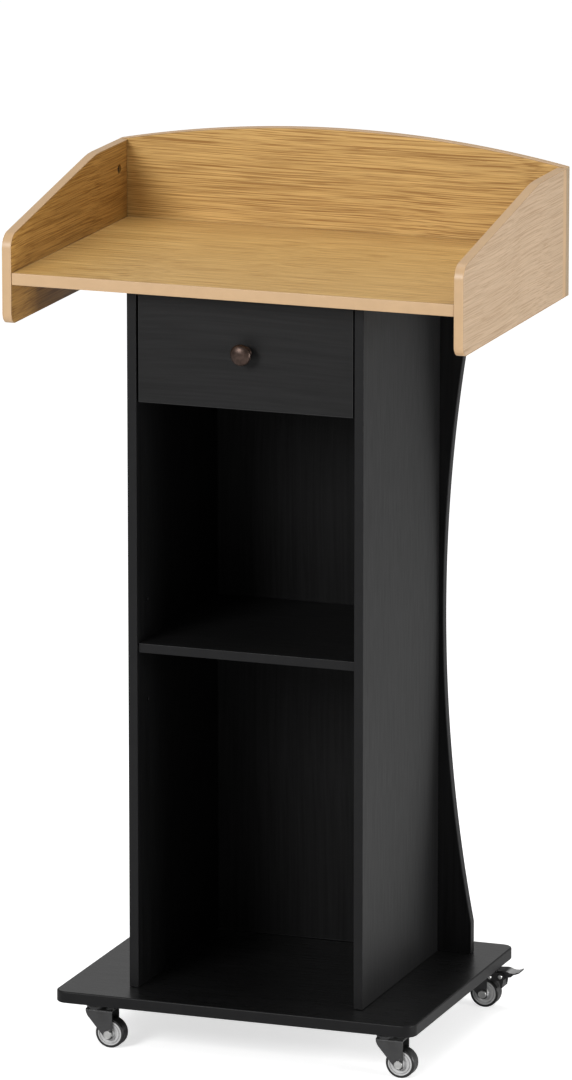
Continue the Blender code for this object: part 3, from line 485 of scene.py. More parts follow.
def lathe(name, profile, materials, place=(0, 0, 0), turn="Z", steps=48, spans=None, closed=False):
    """Spins a (radius, height) profile about the piece's Z axis. Spans give each stretch its material."""
    bm = bmesh.new()
    rings = []
    for radius, height in profile:
        if radius < 1e-9:
            rings.append([bm.verts.new((0, 0, height))] * steps)
            continue
        angles = [2 * math.pi * i / steps for i in range(steps)]
        rings.append([bm.verts.new((radius * math.cos(a), radius * math.sin(a), height)) for a in angles])
    pairs = list(zip(rings, rings[1:])) + ([(rings[-1], rings[0])] if closed else [])
    for index, (upper, lower) in enumerate(pairs):
        for i in range(steps):
            j = (i + 1) % steps
            corners = list(dict.fromkeys((upper[i], lower[i], lower[j], upper[j])))
            if len(corners) > 2:
                bm.faces.new(corners).material_index = spans[index] if spans else 0
    return new_piece(name, bm, materials, place, turn)


def settled(obj):
    """Replaces the object's mesh with the one its modifiers make."""
    graph = bpy.context.evaluated_depsgraph_get()
    mesh = bpy.data.meshes.new_from_object(obj.evaluated_get(graph))
    obj.modifiers.clear()
    obj.data = mesh
    return obj


def combined(obj, operation, *others):
    """The object joined with the others, cut by them or kept where they meet, which are then removed."""
    for other in others:
        boolean = obj.modifiers.new(other.name, "BOOLEAN")
        boolean.operation = operation
        boolean.object = other
        boolean.solver = "EXACT"
    settled(obj)
    for other in others:
        bpy.data.objects.remove(other)
    obj.data.shade_smooth()
    obj.data.set_sharp_from_angle(angle=SHARP)
    return obj


def softened(obj, width, segments=2):
    """Rounds every sharp edge of a mesh that Booleans have made."""
    bm = bmesh.new()
    bm.from_mesh(obj.data)
    bmesh.ops.remove_doubles(bm, verts=bm.verts, dist=0.000005)
    bmesh.ops.dissolve_limit(bm, angle_limit=math.radians(0.5), verts=bm.verts, edges=bm.edges)
    bm.to_mesh(obj.data)
    bm.free()
    bevel = obj.modifiers.new("soft_edges", "BEVEL")
    bevel.width = width
    bevel.segments = segments
    bevel.limit_method = "ANGLE"
    bevel.angle_limit = SHARP
    bevel.use_clamp_overlap = True
    settled(obj)
    obj.data.shade_smooth()
    obj.data.set_sharp_from_angle(angle=SHARP)
    return obj


def rod(name, radius, low, high, place, turn, sides=32):
    """A plain round cutter along one axis."""
    profile = [(0, high), (radius, high), (radius, low), (0, low)]
    return lathe(name, profile, [], place, turn, sides)


def block(name, centre, half):
    """A square-edged cutter."""
    bm = bmesh.new()
    bmesh.ops.create_cube(bm, size=2.0)
    bmesh.ops.transform(bm, matrix=Matrix.Translation(centre) @ Matrix.Diagonal((*half, 1)), verts=bm.verts)
    return new_piece(name, bm, [])


def stands_for(obj, body, slot, *nodes):
    """Puts a finished piece on its body, in place of the CAD nodes it stands for. Its slot is not used."""
    if "flat_faces" not in obj.modifiers:
        flat = obj.modifiers.new("flat_faces", "WEIGHTED_NORMAL")
        flat.keep_sharp = True
    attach(obj, body)
    if nodes:
        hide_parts(*nodes)
    return obj


# Desk


def wing_outline(low, high):
    nose = high.z - WING_SLOPE * (WING_SLOPE_END - low.y)
    return rounded(
        [
            (low.y, low.z, WING_TOE),
            (high.y, low.z, 0),
            (high.y, high.z, 0),
            (WING_SLOPE_END, high.z, WING_BEND),
            (low.y, nose, WING_NOSE),
        ]
    )


def band_outer_face(wing, side, start):
    """Makes a wing's outer face paler, wraps its edge band round on to the last stretch of that face, and
    gives its rear edge, where it meets the back board, a painted shadow line.
    """
    wing.data.materials.append(OAK_PALE)
    bm = bmesh.new()
    bm.from_mesh(wing.data)
    everything = bm.verts[:] + bm.edges[:] + bm.faces[:]
    bmesh.ops.bisect_plane(bm, geom=everything, plane_co=(0, start, 0), plane_no=(0, 1, 0))
    for face in bm.faces:
        if face.material_index == 0 and face.normal.x * side > 0.9:
            wrapped = face.calc_center_median().y > start
            face.material_index = 1 if wrapped else 3
        # painted shadow: the rear edge's faces take the dark glue-line colour for the shade in the gap
        # against the back board
        elif face.normal.y > 0.2:
            face.material_index = 2
    bm.to_mesh(wing.data)
    bm.free()


def build_wing(word):
    """A wing: its outer face is paler than its inner one, and its cam lock sits in a blind hole."""
    side = WORDS[word]
    node = word + "_wing"
    low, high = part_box(node)
    finish = [OAK_ALONG, OAK_BAND, OAK_SEAM_AND_SHADE]
    wing = slab(node + "_board", wing_outline(low, high), "YZ", low.x, high.x, finish)
    band_outer_face(wing, side, high.y - WRAP)
    lock_low, lock_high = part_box(node + "_cam_lock")
    centre = (lock_low + lock_high) / 2
    radius = (lock_high.z - lock_low.z) / 2 + GAP
    depth = (lock_high.x - lock_low.x) + 2 * GAP
    face = side * min(abs(low.x), abs(high.x))
    turn = "X" if side > 0 else "-X"
    hole = rod("hole", radius, -0.002, depth, (face, centre.y, centre.z), turn, 48)
    combined(wing, "DIFFERENCE", hole)
    stands_for(wing, "cabinet", "oak_laminate", node)
    build_cam_lock(node + "_cam_lock", side, centre, radius - GAP, face)


def build_cam_lock(node, side, centre, radius, face):
    """A cam, coloured dark as painted shade for its hole: a chamfered disc with a cross recess, sunk into its
    hole.
    """
    thick = 0.0066
    front = -0.0025
    profile = [(0, front), (radius - 0.0007, front), (radius - 0.0001, front - 0.0006)]
    profile += [(radius - 0.0001, front - thick), (0, front - thick)]
    place = (face, centre.y, centre.z)
    cam = lathe(node + "_cam", profile, [CAM_METAL_PAINTED_SHADE], place, "-X" if side > 0 else "X", 48)
    arms = [((face, centre.y, centre.z), (0.0043, *half)) for half in ((0.0037, 0.0007), (0.0007, 0.0037))]
    combined(cam, "DIFFERENCE", *[block("arm", *arm) for arm in arms])
    stands_for(softened(cam, 0.00015, 1), "cabinet", "zinc_steel", node)


def build_back_board():
    low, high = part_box("back_board")
    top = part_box("left_wing")[1].z
    rise = high.z - top
    half = high.x
    radius = (half**2 + rise**2) / (2 * rise)
    spread = math.asin(half / radius)
    steps = 48
    turns = [spread * (1 - 2 * i / steps) for i in range(steps + 1)]
    arch = [(radius * math.sin(a), high.z - radius + radius * math.cos(a)) for a in turns]
    outline = [(-half, low.z), (half, low.z)] + arch
    materials = [OAK_ACROSS, OAK_BAND, OAK_SEAM_AND_SHADE, OAK_END]
    board = slab("back_board_arched", outline, "XZ", low.y, high.y, materials)
    for face in board.data.polygons:
        if abs(face.normal.x) > 0.9:
            face.material_index = 3
    stands_for(board, "cabinet", "oak_laminate", "back_board")


def build_desk():
    low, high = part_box("desktop")
    top = slab("desktop_board", rectangle(low, high), "XY", low.z, high.z, [OAK_ACROSS, OAK_BAND, OAK_SEAM_AND_SHADE])
    stands_for(top, "cabinet", "oak_laminate", "desktop")
    build_wing("left")
    build_wing("right")
    build_back_board()


# Cabinet

BLACK_UP = [BLACK_UPRIGHT, BLACK_BAND, BLACK_SEAM]
BLACK_LEVEL = [BLACK_ACROSS, BLACK_BAND, BLACK_SEAM]


def pin_places():
    """The (y, z) of every shelf-pin hole: two columns of three rows, with the pins in the middle row."""
    places = []
    for column in ("front", "rear"):
        low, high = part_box(f"shelf_pin_{column}_left")
        middle = (low + high) / 2
        places += [(middle.y, middle.z + row * PIN_PITCH) for row in (-1, 0, 1)]
    return places


def build_side_panel(word):
    side = WORDS[word]
    node = word + "_side_panel"
    low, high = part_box(node)
    outline = rectangle((low.y, low.z), (high.y, high.z))
    panel = slab(node + "_board", outline, "YZ", low.x, high.x, BLACK_UP + [BLACK_OUTSIDE])
    # painted sheen: the outer face takes the shinier copy of the black laminate
    for polygon in panel.data.polygons:
        if polygon.material_index == 0 and polygon.normal.x * side > 0.9:
            polygon.material_index = 3
    face = side * min(abs(low.x), abs(high.x))
    mouth = [(0, 0.002), (0.0036, 0.002), (0.0036, 0.0002), (0.0026, -0.0008), (0.0026, -0.009), (0, -0.009)]
    turn = "-X" if side > 0 else "X"
    holes = [lathe("hole", mouth, [], (face, y, z), turn, 24) for y, z in pin_places()]
    combined(panel, "DIFFERENCE", *holes)
    stands_for(panel, "cabinet", "black_laminate", node)


def build_rear_panel():
    low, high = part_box("rear_panel")
    middle = (low.z + high.z) / 2
    reach = (high.z - low.z) / 2 - LAND_HEIGHT
    depth = high.x - REAR_WAIST
    radius = (reach**2 + depth**2) / (2 * depth)
    spread = math.asin(reach / radius)
    steps = 60
    turns = [spread * (2 * i / steps - 1) for i in range(steps + 1)]
    edge = [(REAR_WAIST + radius * (1 - math.cos(a)), middle + radius * math.sin(a)) for a in turns]
    right = [(high.x, low.z)] + edge + [(high.x, high.z)]
    outline = right + [(-x, z) for x, z in reversed(right)]
    panel = slab("rear_panel_waisted", outline, "XZ", low.y, high.y, BLACK_UP)
    stands_for(panel, "cabinet", "black_laminate", "rear_panel")


def build_shelf():
    low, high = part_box("shelf")
    board = slab("shelf_board", rectangle(low, high), "XY", low.z, high.z, BLACK_LEVEL)
    stands_for(board, "cabinet", "black_laminate", "shelf")
    for column in ("front", "rear"):
        for word, side in WORDS.items():
            build_shelf_pin(f"shelf_pin_{column}_{word}", side)


def build_shelf_pin(node, side):
    """A turned steel pin, with its plug in the panel and its stub under the shelf."""
    low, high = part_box(node)
    centre = (low + high) / 2
    stub = (high.z - low.z) / 2
    length = high.x - low.x
    plug = 0.0025
    face = 0.0085
    profile = [(0, 0), (stub - 0.0012, 0), (stub, 0.0010), (stub, face), (plug, face)]
    profile += [(plug, length - 0.0005), (plug - 0.0005, length), (0, length)]
    tip = low.x if side > 0 else high.x
    turn = "X" if side > 0 else "-X"
    pin = lathe(node + "_turned", profile[::-1], [ZINC], (tip, centre.y, centre.z), turn, 32)
    stands_for(pin, "cabinet", "zinc_steel", node)


def build_base_board():
    low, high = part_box("base_board")
    outline = rectangle(low, high, BASE_CORNER)
    finish = [BLACK_BASE, BLACK_BAND, BLACK_SEAM]
    board = slab("base_board_rounded", outline, "XY", low.z, high.z, finish, BASE_EDGE)
    stands_for(board, "cabinet", "black_laminate", "base_board")


def build_cabinet():
    build_base_board()
    build_side_panel("left")
    build_side_panel("right")
    build_rear_panel()
    build_shelf()


# Drawer


def dress(node, material, edge=0.0):
    """Gives a CAD node that stays in view its material, welded corners and, if asked, softer edges."""
    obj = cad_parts[node]
    obj.data.materials.clear()
    obj.data.materials.append(material)
    weld = obj.modifiers.new("welded", "WELD")
    weld.merge_threshold = 0.000005
    if edge:
        bevel = obj.modifiers.new("soft_edges", "BEVEL")
        bevel.width = edge
        bevel.segments = 2
        bevel.limit_method = "ANGLE"
        bevel.angle_limit = SHARP


def build_drawer_front():
    low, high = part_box("drawer_front")
    outline = rectangle((low.x, low.z), (high.x, high.z))
    board = slab("drawer_front_board", outline, "XZ", low.y, high.y, BLACK_LEVEL)
    stands_for(board, "drawer", "black_laminate", "drawer_front")


def build_knob():
    """A turned knob: a domed head, a waisted neck and a flared foot."""
    low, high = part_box("drawer_knob")
    radius = (high.x - low.x) / 2
    reach = high.y - low.y
    crown = 0.0065
    equator = reach - crown
    turns = [math.pi / 2 * (i + 1) / 14 for i in range(14)]
    head = [(radius * math.sin(a), equator + crown * math.cos(a)) for a in turns]
    neck = rounded(
        [
            (radius, equator, 0),
            (0.0128, equator - 0.0020, 0.0016),
            (0.0064, equator - 0.0066, 0.0040),
            (0.0050, 0.0070, 0.0050),
            (0.0064, 0.0028, 0.0030),
            (0.0085, 0.0014, 0.0008),
            (0.0085, 0, 0),
        ],
        False,
    )
    profile = [(0, reach)] + head + neck[1:] + [(0, 0)]
    place = ((low.x + high.x) / 2, high.y, (low.z + high.z) / 2)
    knob = lathe("drawer_knob_turned", profile, [BRONZE], place, "-Y", 72)
    stands_for(knob, "drawer", "bronze_knob", "drawer_knob")


def cross_recess(obj, place, turn, reach, width, depth):
    """Cuts a cross slot into the head of a screw that faces along turn."""
    matrix = Matrix.Translation(place) @ TURNS[turn]
    arms = []
    for half in ((reach, width), (width, reach)):
        arm = block("arm", (0, 0, 0), (*half, depth))
        arm.matrix_world = matrix
        arms.append(arm)
    return combined(obj, "DIFFERENCE", *arms)


def pan_screw(name, place, turn, radius, height):
    """A pan-head screw's head, domed, with a cross recess."""
    dome = [(0, height, 0), (radius * 0.78, height, radius * 0.4), (radius, height * 0.35, 0)]
    crown = rounded(dome, False)
    profile = crown + [(radius, 0), (0, 0)]
    head = lathe(name, profile, [ZINC], place, turn, 32)
    top = Vector(place) + TURNS[turn] @ Vector((0, 0, height))
    return cross_recess(head, top, turn, radius * 0.62, radius * 0.13, height * 0.6)


def build_drawer():
    for node in ("drawer_left_side", "drawer_right_side", "drawer_back", "drawer_bottom"):
        dress(node, DRAWER_BOARD)
    build_drawer_front()
    build_knob()
    dress("knob_screw", ZINC, 0.0002)
    for word, side in WORDS.items():
        for owner in ("cabinet", "drawer"):
            dress(f"{owner}_runner_{word}", RUNNER_PAINT, 0.00025)
            build_roller(f"{owner}_roller_{word}")
            build_runner_screws(owner, word, side)


def build_roller(node):
    """A nylon roller: a plain tread with rounded shoulders and a dished face round its bore."""
    low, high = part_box(node)
    centre = (low + high) / 2
    half = (high.x - low.x) / 2
    radius = (high.z - low.z) / 2
    bore = 0.0026
    outer = [(bore, half, 0), (bore + 0.0012, half, 0.0003), (bore + 0.0016, half - 0.0006, 0.0003)]
    outer += [(radius - 0.0022, half - 0.0006, 0.0003), (radius - 0.0016, half, 0.0003)]
    outer += [(radius, half, 0.0009)]
    section = rounded(mirrored(outer), False)
    roller = lathe(node + "_moulded", section, [NYLON], centre, "X", 48, closed=True)
    stands_for(roller, node, "white_nylon", node)


def build_runner_screws(owner, word, side):
    """Two screws hold each runner: into the side panel, or up into the drawer side."""
    low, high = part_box(f"{owner}_runner_{word}")
    for i, share in enumerate((0.30, 0.78)):
        y = low.y + share * (high.y - low.y)
        name = f"{owner}_runner_{word}_screw_{i + 1}"
        if owner == "cabinet":
            web = side * (max(abs(low.x), abs(high.x)) - 0.0012)
            turn = "-X" if side > 0 else "X"
            screw = pan_screw(name, (web, y, (low.z + high.z) / 2), turn, 0.0034, 0.0016)
        else:
            foot = side * (min(abs(low.x), abs(high.x)) + 0.0042)
            screw = pan_screw(name, (foot, y, low.z), "-Z", 0.0030, 0.0014)
        stands_for(screw, owner, "zinc_steel")


# Casters. Each is drawn about its swivel axis and then moved to its place.


def swivel_place(corner):
    low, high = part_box(corner + "_kingpin")
    return Vector(((low.x + high.x) / 2, (low.y + high.y) / 2, 0))


def moved(obj, place):
    obj.matrix_world = Matrix.Translation(place) @ obj.matrix_world
    return obj


def channel_section(half, top, thick, bend, depth):
    """An upside-down U as (y, z): two legs and a web, with rounded bends."""
    inner = half - thick
    corners = [(-half, top - depth, 0), (-inner, top - depth, 0)]
    corners += [(-inner, top - thick, bend / 2), (inner, top - thick, bend / 2)]
    corners += [(inner, top - depth, 0), (half, top - depth, 0)]
    corners += [(half, top, bend), (-half, top, bend)]
    return rounded(corners)


def channel(name, section, side_view, half, material):
    """Bent sheet metal: a long channel trimmed to its outline as seen from the side."""
    bm = prism(section, "YZ", -0.030, 0.080)
    piece = new_piece(name, bm, [material, material])
    trim = new_piece("trim", prism(side_view, "XZ", -2 * half, 2 * half), [])
    return combined(piece, "INTERSECT", trim)


def fork_side_view(top, braked):
    """The fork as (x, z): a raked leading edge, a lobe round the axle and an upright rear edge."""
    above = top + 0.001
    lobe = arc((TRAIL, WHEEL_RADIUS), AXLE_LOBE, math.radians(221), math.radians(315))
    leading = rounded([(FORK_NOSE[0], above, 0), (*FORK_NOSE, 0.0165), (*lobe[0], 0)], False)
    rear = lobe[-1][0]
    if not braked:
        return leading + lobe[1:] + [(rear, above)]
    ear_x, ear_z = BRAKE_EAR
    ear = [(rear, WHEEL_RADIUS, 0), (rear, ear_z, 0.002), (ear_x, ear_z, 0.003), (ear_x, above, 0)]
    return leading + lobe[1:] + rounded(ear, False)[1:]


def fork_head(top, head_top):
    """The fork's upper race: a pressed dome with a rolled rim."""
    low = top - 0.001
    rim = [(0, head_top, 0), (0.0118, head_top, 0.0008), (0.0130, head_top - 0.0012, 0.0006)]
    rim += [(0.0126, low, 0), (0, low, 0)]
    return lathe("head", rounded(rim, False), [FORK_PAINT], steps=64)


def build_fork_mesh(corner):
    """The fork about its swivel axis: two cheeks, a web, the head and the axle's holes."""
    low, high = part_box(corner + "_fork")
    half = (high.y - low.y) / 2
    side_view = fork_side_view(FORK_TOP, corner.startswith("rear"))
    section = channel_section(half, FORK_TOP, 0.002, 0.003, 0.042)
    fork = channel("fork", section, side_view, half, FORK_PAINT)
    combined(fork, "DIFFERENCE", rod("axle_bore", 0.0031, -0.017, 0.017, AXLE_PLACE, "Y"))
    combined(fork, "UNION", fork_head(FORK_TOP, high.z))
    combined(fork, "DIFFERENCE", rod("bore", 0.00365, 0.040, 0.060, (0, 0, 0), "Z"))
    return softened(fork, 0.0003)


def plate_profile():
    """The plate's raceway, pressed down in a ring round the kingpin."""
    return [
        (0.0106, 0.0594, 0),
        (0.0112, 0.0560, 0.0006),
        (0.0122, 0.0544, 0.0005),
        (0.0138, 0.0544, 0.0006),
        (0.0150, 0.0570, 0.0008),
        (0.0156, 0.0594, 0),
    ]


def build_plate_mesh():
    """The top plate about its swivel axis, with its raceway and four screw holes."""
    low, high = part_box("front_left_caster_plate")
    half = (high.x - low.x) / 2
    outline = rectangle((-half, -half), (half, half), 0.004)
    bm = prism(outline, "XY", high.z - PLATE_THICKNESS, high.z)
    plate = new_piece("plate", bm, [ZINC, ZINC])
    race = lathe("race", rounded(plate_profile(), False), [ZINC], steps=64, closed=True)
    combined(plate, "UNION", race)
    holes = [rod("bore", 0.0036, 0.050, 0.065, (0, 0, 0), "Z")]
    for x in (-PLATE_HOLE, PLATE_HOLE):
        for y in (-PLATE_HOLE, PLATE_HOLE):
            holes.append(rod("screw_hole", 0.0021, 0.050, 0.065, (x, y, 0), "Z", 24))
    combined(plate, "DIFFERENCE", *holes)
    return softened(plate, 0.00025)


def kingpin_profile(low, high):
    """A collar inside the race, a shank and a riveted head under the fork's web."""
    top = high.z
    shank = 0.0035
    return [
        (0, top, 0),
        (shank, top, 0.0002),
        (shank, 0.0575, 0),
        (0.0060, 0.0575, 0.0003),
        (0.0060, 0.0558, 0.0003),
        (shank, 0.0558, 0),
        (shank, low.z + 0.0022, 0),
        (0.0062, low.z + 0.0022, 0.0003),
        (0.0062, low.z + 0.0010, 0.0005),
        (0.0045, low.z, 0.0008),
        (0, low.z, 0),
    ]


def axle_profile(half):
    """A bolt with a tall flat head at +Z and a riveted end at -Z."""
    shank = 0.003
    return [
        (0, half + 0.0038, 0),
        (0.0042, half + 0.0038, 0.0002),
        (0.0046, half + 0.0041, 0.0002),
        (0.0053, half + 0.0035, 0.0004),
        (0.0053, half + 0.0003, 0.0002),
        (shank, half + 0.0003, 0),
        (shank, -half - 0.0003, 0),
        (0.0055, -half - 0.0003, 0.0002),
        (0.0055, -half - 0.0014, 0.0004),
        (0.0044, -half - 0.0025, 0.0006),
        (0.0022, -half - 0.0029, 0.0006),
        (0, -half - 0.0032, 0),
    ]


def hub_profile(half, rim):
    """Half of the hub's section, from bore to rim: a boss, a recess, and two ridges with a valley between."""
    face = 0.0106
    return [
        (0.0031, face, 0),
        (0.0054, face, 0.0004),
        (0.0060, 0.0070, 0.0004),
        (0.0091, 0.0066, 0.0005),
        (0.0098, half - 0.0004, 0.0003),
        (0.0124, half, 0.0002),
        (0.0126, half - 0.0016, 0.0002),
        (0.0136, half - 0.0016, 0.0002),
        (0.0138, half, 0.0002),
        (rim, half - 0.0003, 0.0003),
    ]


def build_hub_mesh():
    low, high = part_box("front_left_tyre")
    profile = rounded(mirrored(hub_profile((high.y - low.y) / 2, 0.0157)), False)
    return lathe("hub", profile, [HUB_PLASTIC], AXLE_PLACE, "Y", 72, closed=True)


def build_tyre_mesh():
    """A black tread round the hub's rim, with a fine mould line round its middle."""
    low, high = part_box("front_left_tyre")
    half = (high.y - low.y) / 2
    rim = WHEEL_RADIUS
    inner = 0.0158
    side = [(inner, half, 0), (rim - 0.0010, half, 0.0006), (rim, half - 0.0016, 0.0010)]
    line = [(rim - 0.00002, 0.0004, 0.0001), (rim - 0.0002, 0.0, 0.0)]
    profile = side + line + [(line[0][0], -line[0][1], line[0][2])]
    profile += [(r, -h, f) for r, h, f in reversed(side)]
    return lathe("tyre", rounded(profile, False), [RUBBER], AXLE_PLACE, "Y", 96, closed=True)


def build_bracket_mesh():
    """The brake bracket: a channel that straddles the fork's rear edge."""
    top = 0.0518
    pivot_x, pivot_z = BRAKE_PIVOT
    rivet_x, rivet_z = BRAKE_RIVET
    side_view = rounded(
        [
            (rivet_x - 0.0055, top + 0.001, 0),
            (rivet_x - 0.0055, rivet_z - 0.0050, 0.0045),
            (pivot_x + 0.0050, pivot_z - 0.0048, 0.0048),
            (pivot_x + 0.0050, pivot_z + 0.0050, 0.0048),
            (pivot_x - 0.0075, pivot_z + 0.0052, 0.0010),
            (pivot_x - 0.0100, top + 0.001, 0),
        ]
    )
    section = channel_section(BRACKET_HALF, top, 0.0015, 0.002, 0.020)
    bracket = channel("bracket", section, side_view, BRACKET_HALF, BRACKET_PAINT)
    combined(bracket, "DIFFERENCE", rod("bore", 0.0020, -0.018, 0.018, (pivot_x, 0, pivot_z), "Y"))
    return softened(bracket, 0.00025)


def rivet_profile(out, radius):
    """A pin headed at both ends, as (radius, height, fillet)."""
    shank = radius * 0.62
    head = [(0, out + 0.0012, 0), (radius * 0.7, out + 0.0010, 0.0005), (radius, out + 0.0002, 0.0002)]
    head += [(radius, out, 0), (shank, out, 0)]
    return mirrored(head)


def pedal_path():
    """The middle of the pedal's plate, seen from the side: flat, dipped, then curled up at the toe."""
    corners = [(0.0375, 0.0498, 0), (0.0480, 0.0507, 0.012), (0.0560, 0.0480, 0.008)]
    corners += [(0.0614, 0.0480, 0.006), (0.0674, 0.0503, 0)]
    return rounded(corners, False)


def cheek_outline(path):
    """A cheek of the pedal, seen from the side: it hangs from the plate and ends in the shoe's corner."""
    cheek = rounded(
        [
            (0.0380, 0.0498, 0),
            (0.0380, 0.0405, 0.0040),
            (0.0419, 0.0345, 0.0010),
            (0.0429, 0.0278, 0.0006),
            (0.0447, 0.0278, 0.0006),
            (0.0466, 0.0388, 0.0030),
            (0.0511, 0.0428, 0.0030),
            (0.0565, 0.0436, 0.0040),
            (0.0615, 0.0482, 0),
        ]
    )
    return cheek + [(x, z) for x, z in reversed(path) if 0.0385 < x < 0.0610]


def build_pedal_mesh():
    """The brake pedal: a dished plate curled up at the toe, two cheeks and the shoe between them."""
    path = pedal_path()
    half = 0.011
    thick = 0.0016
    steel = [PEDAL_STEEL, PEDAL_STEEL]
    pedal = new_piece("pedal", prism(sheet(path, thick), "XZ", 0.0002 - half, half - 0.0002), steel)
    others = []
    for inner, outer in ((-half, thick - half), (half - thick, half)):
        others.append(new_piece("cheek", prism(cheek_outline(path), "XZ", inner, outer), steel))
    others.append(block("shoe", (0.0438, 0, 0.0340), (0.0007, half - 0.0003, 0.0060)))
    others[-1].data.materials.append(PEDAL_STEEL)
    combined(pedal, "UNION", *others)
    wide = half + 0.0002
    toe = [(0.030, -wide, 0), (PEDAL_TIP, -wide, PEDAL_TOE), (PEDAL_TIP, wide, PEDAL_TOE), (0.030, wide, 0)]
    combined(pedal, "INTERSECT", new_piece("toe_view", prism(rounded(toe), "XY", 0.020, 0.060), []))
    pivot = (BRAKE_PIVOT[0], 0, BRAKE_PIVOT[1])
    combined(pedal, "DIFFERENCE", rod("bore", 0.0020, -0.014, 0.014, pivot, "Y"))
    return softened(pedal, 0.0003)


def copy_of(mesh_piece, name, place):
    """A copy that shares its mesh, moved from the drawing's origin to a caster's swivel axis."""
    obj = mesh_piece.copy()
    obj.name = name
    bpy.context.scene.collection.objects.link(obj)
    return moved(obj, place)


def build_casters():
    """Draws each pressed or turned piece once, then sets it at every corner that has it."""
    fork_low, fork_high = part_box("front_left_fork")
    half = (fork_high.y - fork_low.y) / 2
    pin_place = (BRAKE_PIVOT[0], 0, BRAKE_PIVOT[1])
    rivet_place = (BRAKE_RIVET[0], 0, BRAKE_RIVET[1])
    kingpin = kingpin_profile(*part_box("front_left_kingpin"))
    rivets = rounded(rivet_profile(BRACKET_HALF, 0.0026), False)
    pin = rounded(rivet_profile(BRACKET_HALF + GAP, 0.0029), False)
    under_plate = (0, 0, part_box("front_left_caster_plate")[1].z - PLATE_THICKNESS)
    drawn = {
        "plate": build_plate_mesh(),
        "kingpin": lathe("kingpin", rounded(kingpin, False), [ZINC], steps=48),
        "fork": build_fork_mesh("front_left"),
        "braked_fork": build_fork_mesh("rear_left"),
        "axle": lathe("axle", rounded(axle_profile(half), False), [ZINC], AXLE_PLACE, "-Y", 48),
        "hub": build_hub_mesh(),
        "tyre": build_tyre_mesh(),
        "bracket": build_bracket_mesh(),
        "rivets": lathe("rivets", rivets, [ZINC], rivet_place, "Y", 32),
        "pin": lathe("pin", pin, [ZINC], pin_place, "Y", 32),
        "pedal": build_pedal_mesh(),
        "screw": pan_screw("screw", under_plate, "-Z", 0.0036, 0.0016),
    }
    for corner in CORNERS:
        build_caster(corner, drawn)
    for piece in drawn.values():
        bpy.data.objects.remove(piece)


def build_caster(corner, drawn):
    place = swivel_place(corner)
    fork = corner + "_fork"
    wheel = corner + "_wheel"
    braked = corner.startswith("rear")
    pieces = [
        ("plate", "cabinet", "zinc_steel", "caster_plate"),
        ("kingpin", "cabinet", "zinc_steel", "kingpin"),
        ("braked_fork" if braked else "fork", fork, "dark_fork_paint", "fork"),
        ("axle", fork, "zinc_steel", "axle"),
        ("hub", wheel, "grey_wheel_plastic", "wheel_hub"),
        ("tyre", wheel, "black_tyre_rubber", "tyre"),
    ]
    if braked:
        pieces.append(("bracket", fork, "dark_fork_paint", "brake_bracket"))
        pieces.append(("rivets", fork, "zinc_steel", None))
        pieces.append(("pin", fork, "zinc_steel", "pedal_pin"))
        pieces.append(("pedal", corner + "_pedal", "pedal_steel", "brake_pedal"))
    for key, body, slot, node in pieces:
        nodes = [f"{corner}_{node}"] if node else []
        name = f"{corner}_{node or 'brake_rivets'}_fine"
        stands_for(copy_of(drawn[key], name, place), body, slot, *nodes)
    for i, (x, y) in enumerate(((-1, -1), (1, -1), (1, 1), (-1, 1))):
        offset = place + Vector((x * PLATE_HOLE, y * PLATE_HOLE, 0))
        screw = copy_of(drawn["screw"], f"{corner}_plate_screw_{i + 1}", offset)
        stands_for(screw, "cabinet", "zinc_steel")


build_desk()
build_cabinet()
build_drawer()
build_casters()


# Studio

WORLD = 0.42  # strength of the even light from all round
FLOOR_GLOW = 0.64  # light that the floor adds of its own, towards the camera only
VIEW_DISTANCE = 10.358  # from the camera to the middle of the view


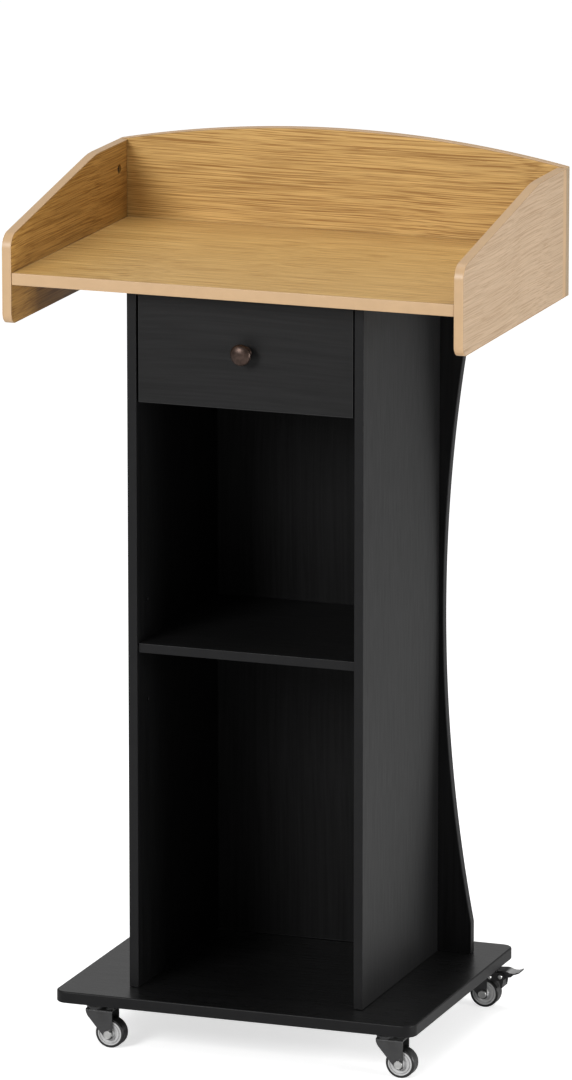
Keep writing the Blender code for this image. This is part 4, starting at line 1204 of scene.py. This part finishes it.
def build_floor():
    """A pale floor that the camera sees close to white, with the lectern's soft shadow on it."""
    material, tree = new_material("studio_floor")
    seen = add(tree, "LightPath").node.outputs["Is Camera Ray"]
    place = add(tree, "TexCoord").node.outputs["Object"]
    rough = ramp(tree, noise(tree, place, 300.0), (0.3, 0.65), (0.7, 0.75))
    glow = arithmetic(tree, "MULTIPLY", seen, FLOOR_GLOW)
    white = (1, 1, 1, 1)
    shader_inputs(
        tree, Base_Color=(0.88, 0.88, 0.88, 1), Roughness=rough, Emission_Color=white, Emission_Strength=glow
    )
    bm = bmesh.new()
    bmesh.ops.create_grid(bm, x_segments=1, y_segments=1, size=40.0)
    new_piece("studio_floor", bm, [material])


def area_light(name, place, target, size, power):
    data = bpy.data.lights.new(name, "AREA")
    data.shape = "RECTANGLE"
    data.size, data.size_y = size
    data.energy = power
    light = bpy.data.objects.new(name, data)
    light.location = place
    light.rotation_euler = (Vector(target) - Vector(place)).to_track_quat("-Z", "Y").to_euler()
    bpy.context.scene.collection.objects.link(light)


def build_lights():
    world = bpy.data.worlds.new("studio")
    world.use_nodes = True
    world.node_tree.nodes["Background"].inputs["Color"].default_value = (1, 1, 1, 1)
    world.node_tree.nodes["Background"].inputs["Strength"].default_value = WORLD
    bpy.context.scene.world = world
    area_light("key_front_left", (-1.4, -4.0, 2.5), (0, 0, 0.9), (1.4, 1.4), 125)
    area_light("low_fill_right", (3.2, -0.6, 0.75), (0, 0, 0.75), (1.2, 1.3), 55)
    area_light("overhead", (0.3, 0.4, 3.4), (0, 0, 0.8), (2.0, 2.0), 30)


def build_camera():
    azimuth, elevation = math.radians(20.0), math.radians(13.05)
    data = bpy.data.cameras.new("camera")
    data.lens = 276
    data.sensor_width = 36
    data.clip_end = 100
    camera = bpy.data.objects.new("camera", data)
    back = Vector(
        (
            math.sin(azimuth) * math.cos(elevation),
            -math.cos(azimuth) * math.cos(elevation),
            math.sin(elevation),
        )
    )
    camera.location = Vector((0, -0.0069, 0.631)) + back * VIEW_DISTANCE
    camera.rotation_euler = (-back).to_track_quat("-Z", "Y").to_euler()
    bpy.context.scene.collection.objects.link(camera)
    bpy.context.scene.camera = camera


build_floor()
build_lights()
build_camera()
bpy.context.scene.view_settings.view_transform = "Standard"

bpy.context.view_layer.update()
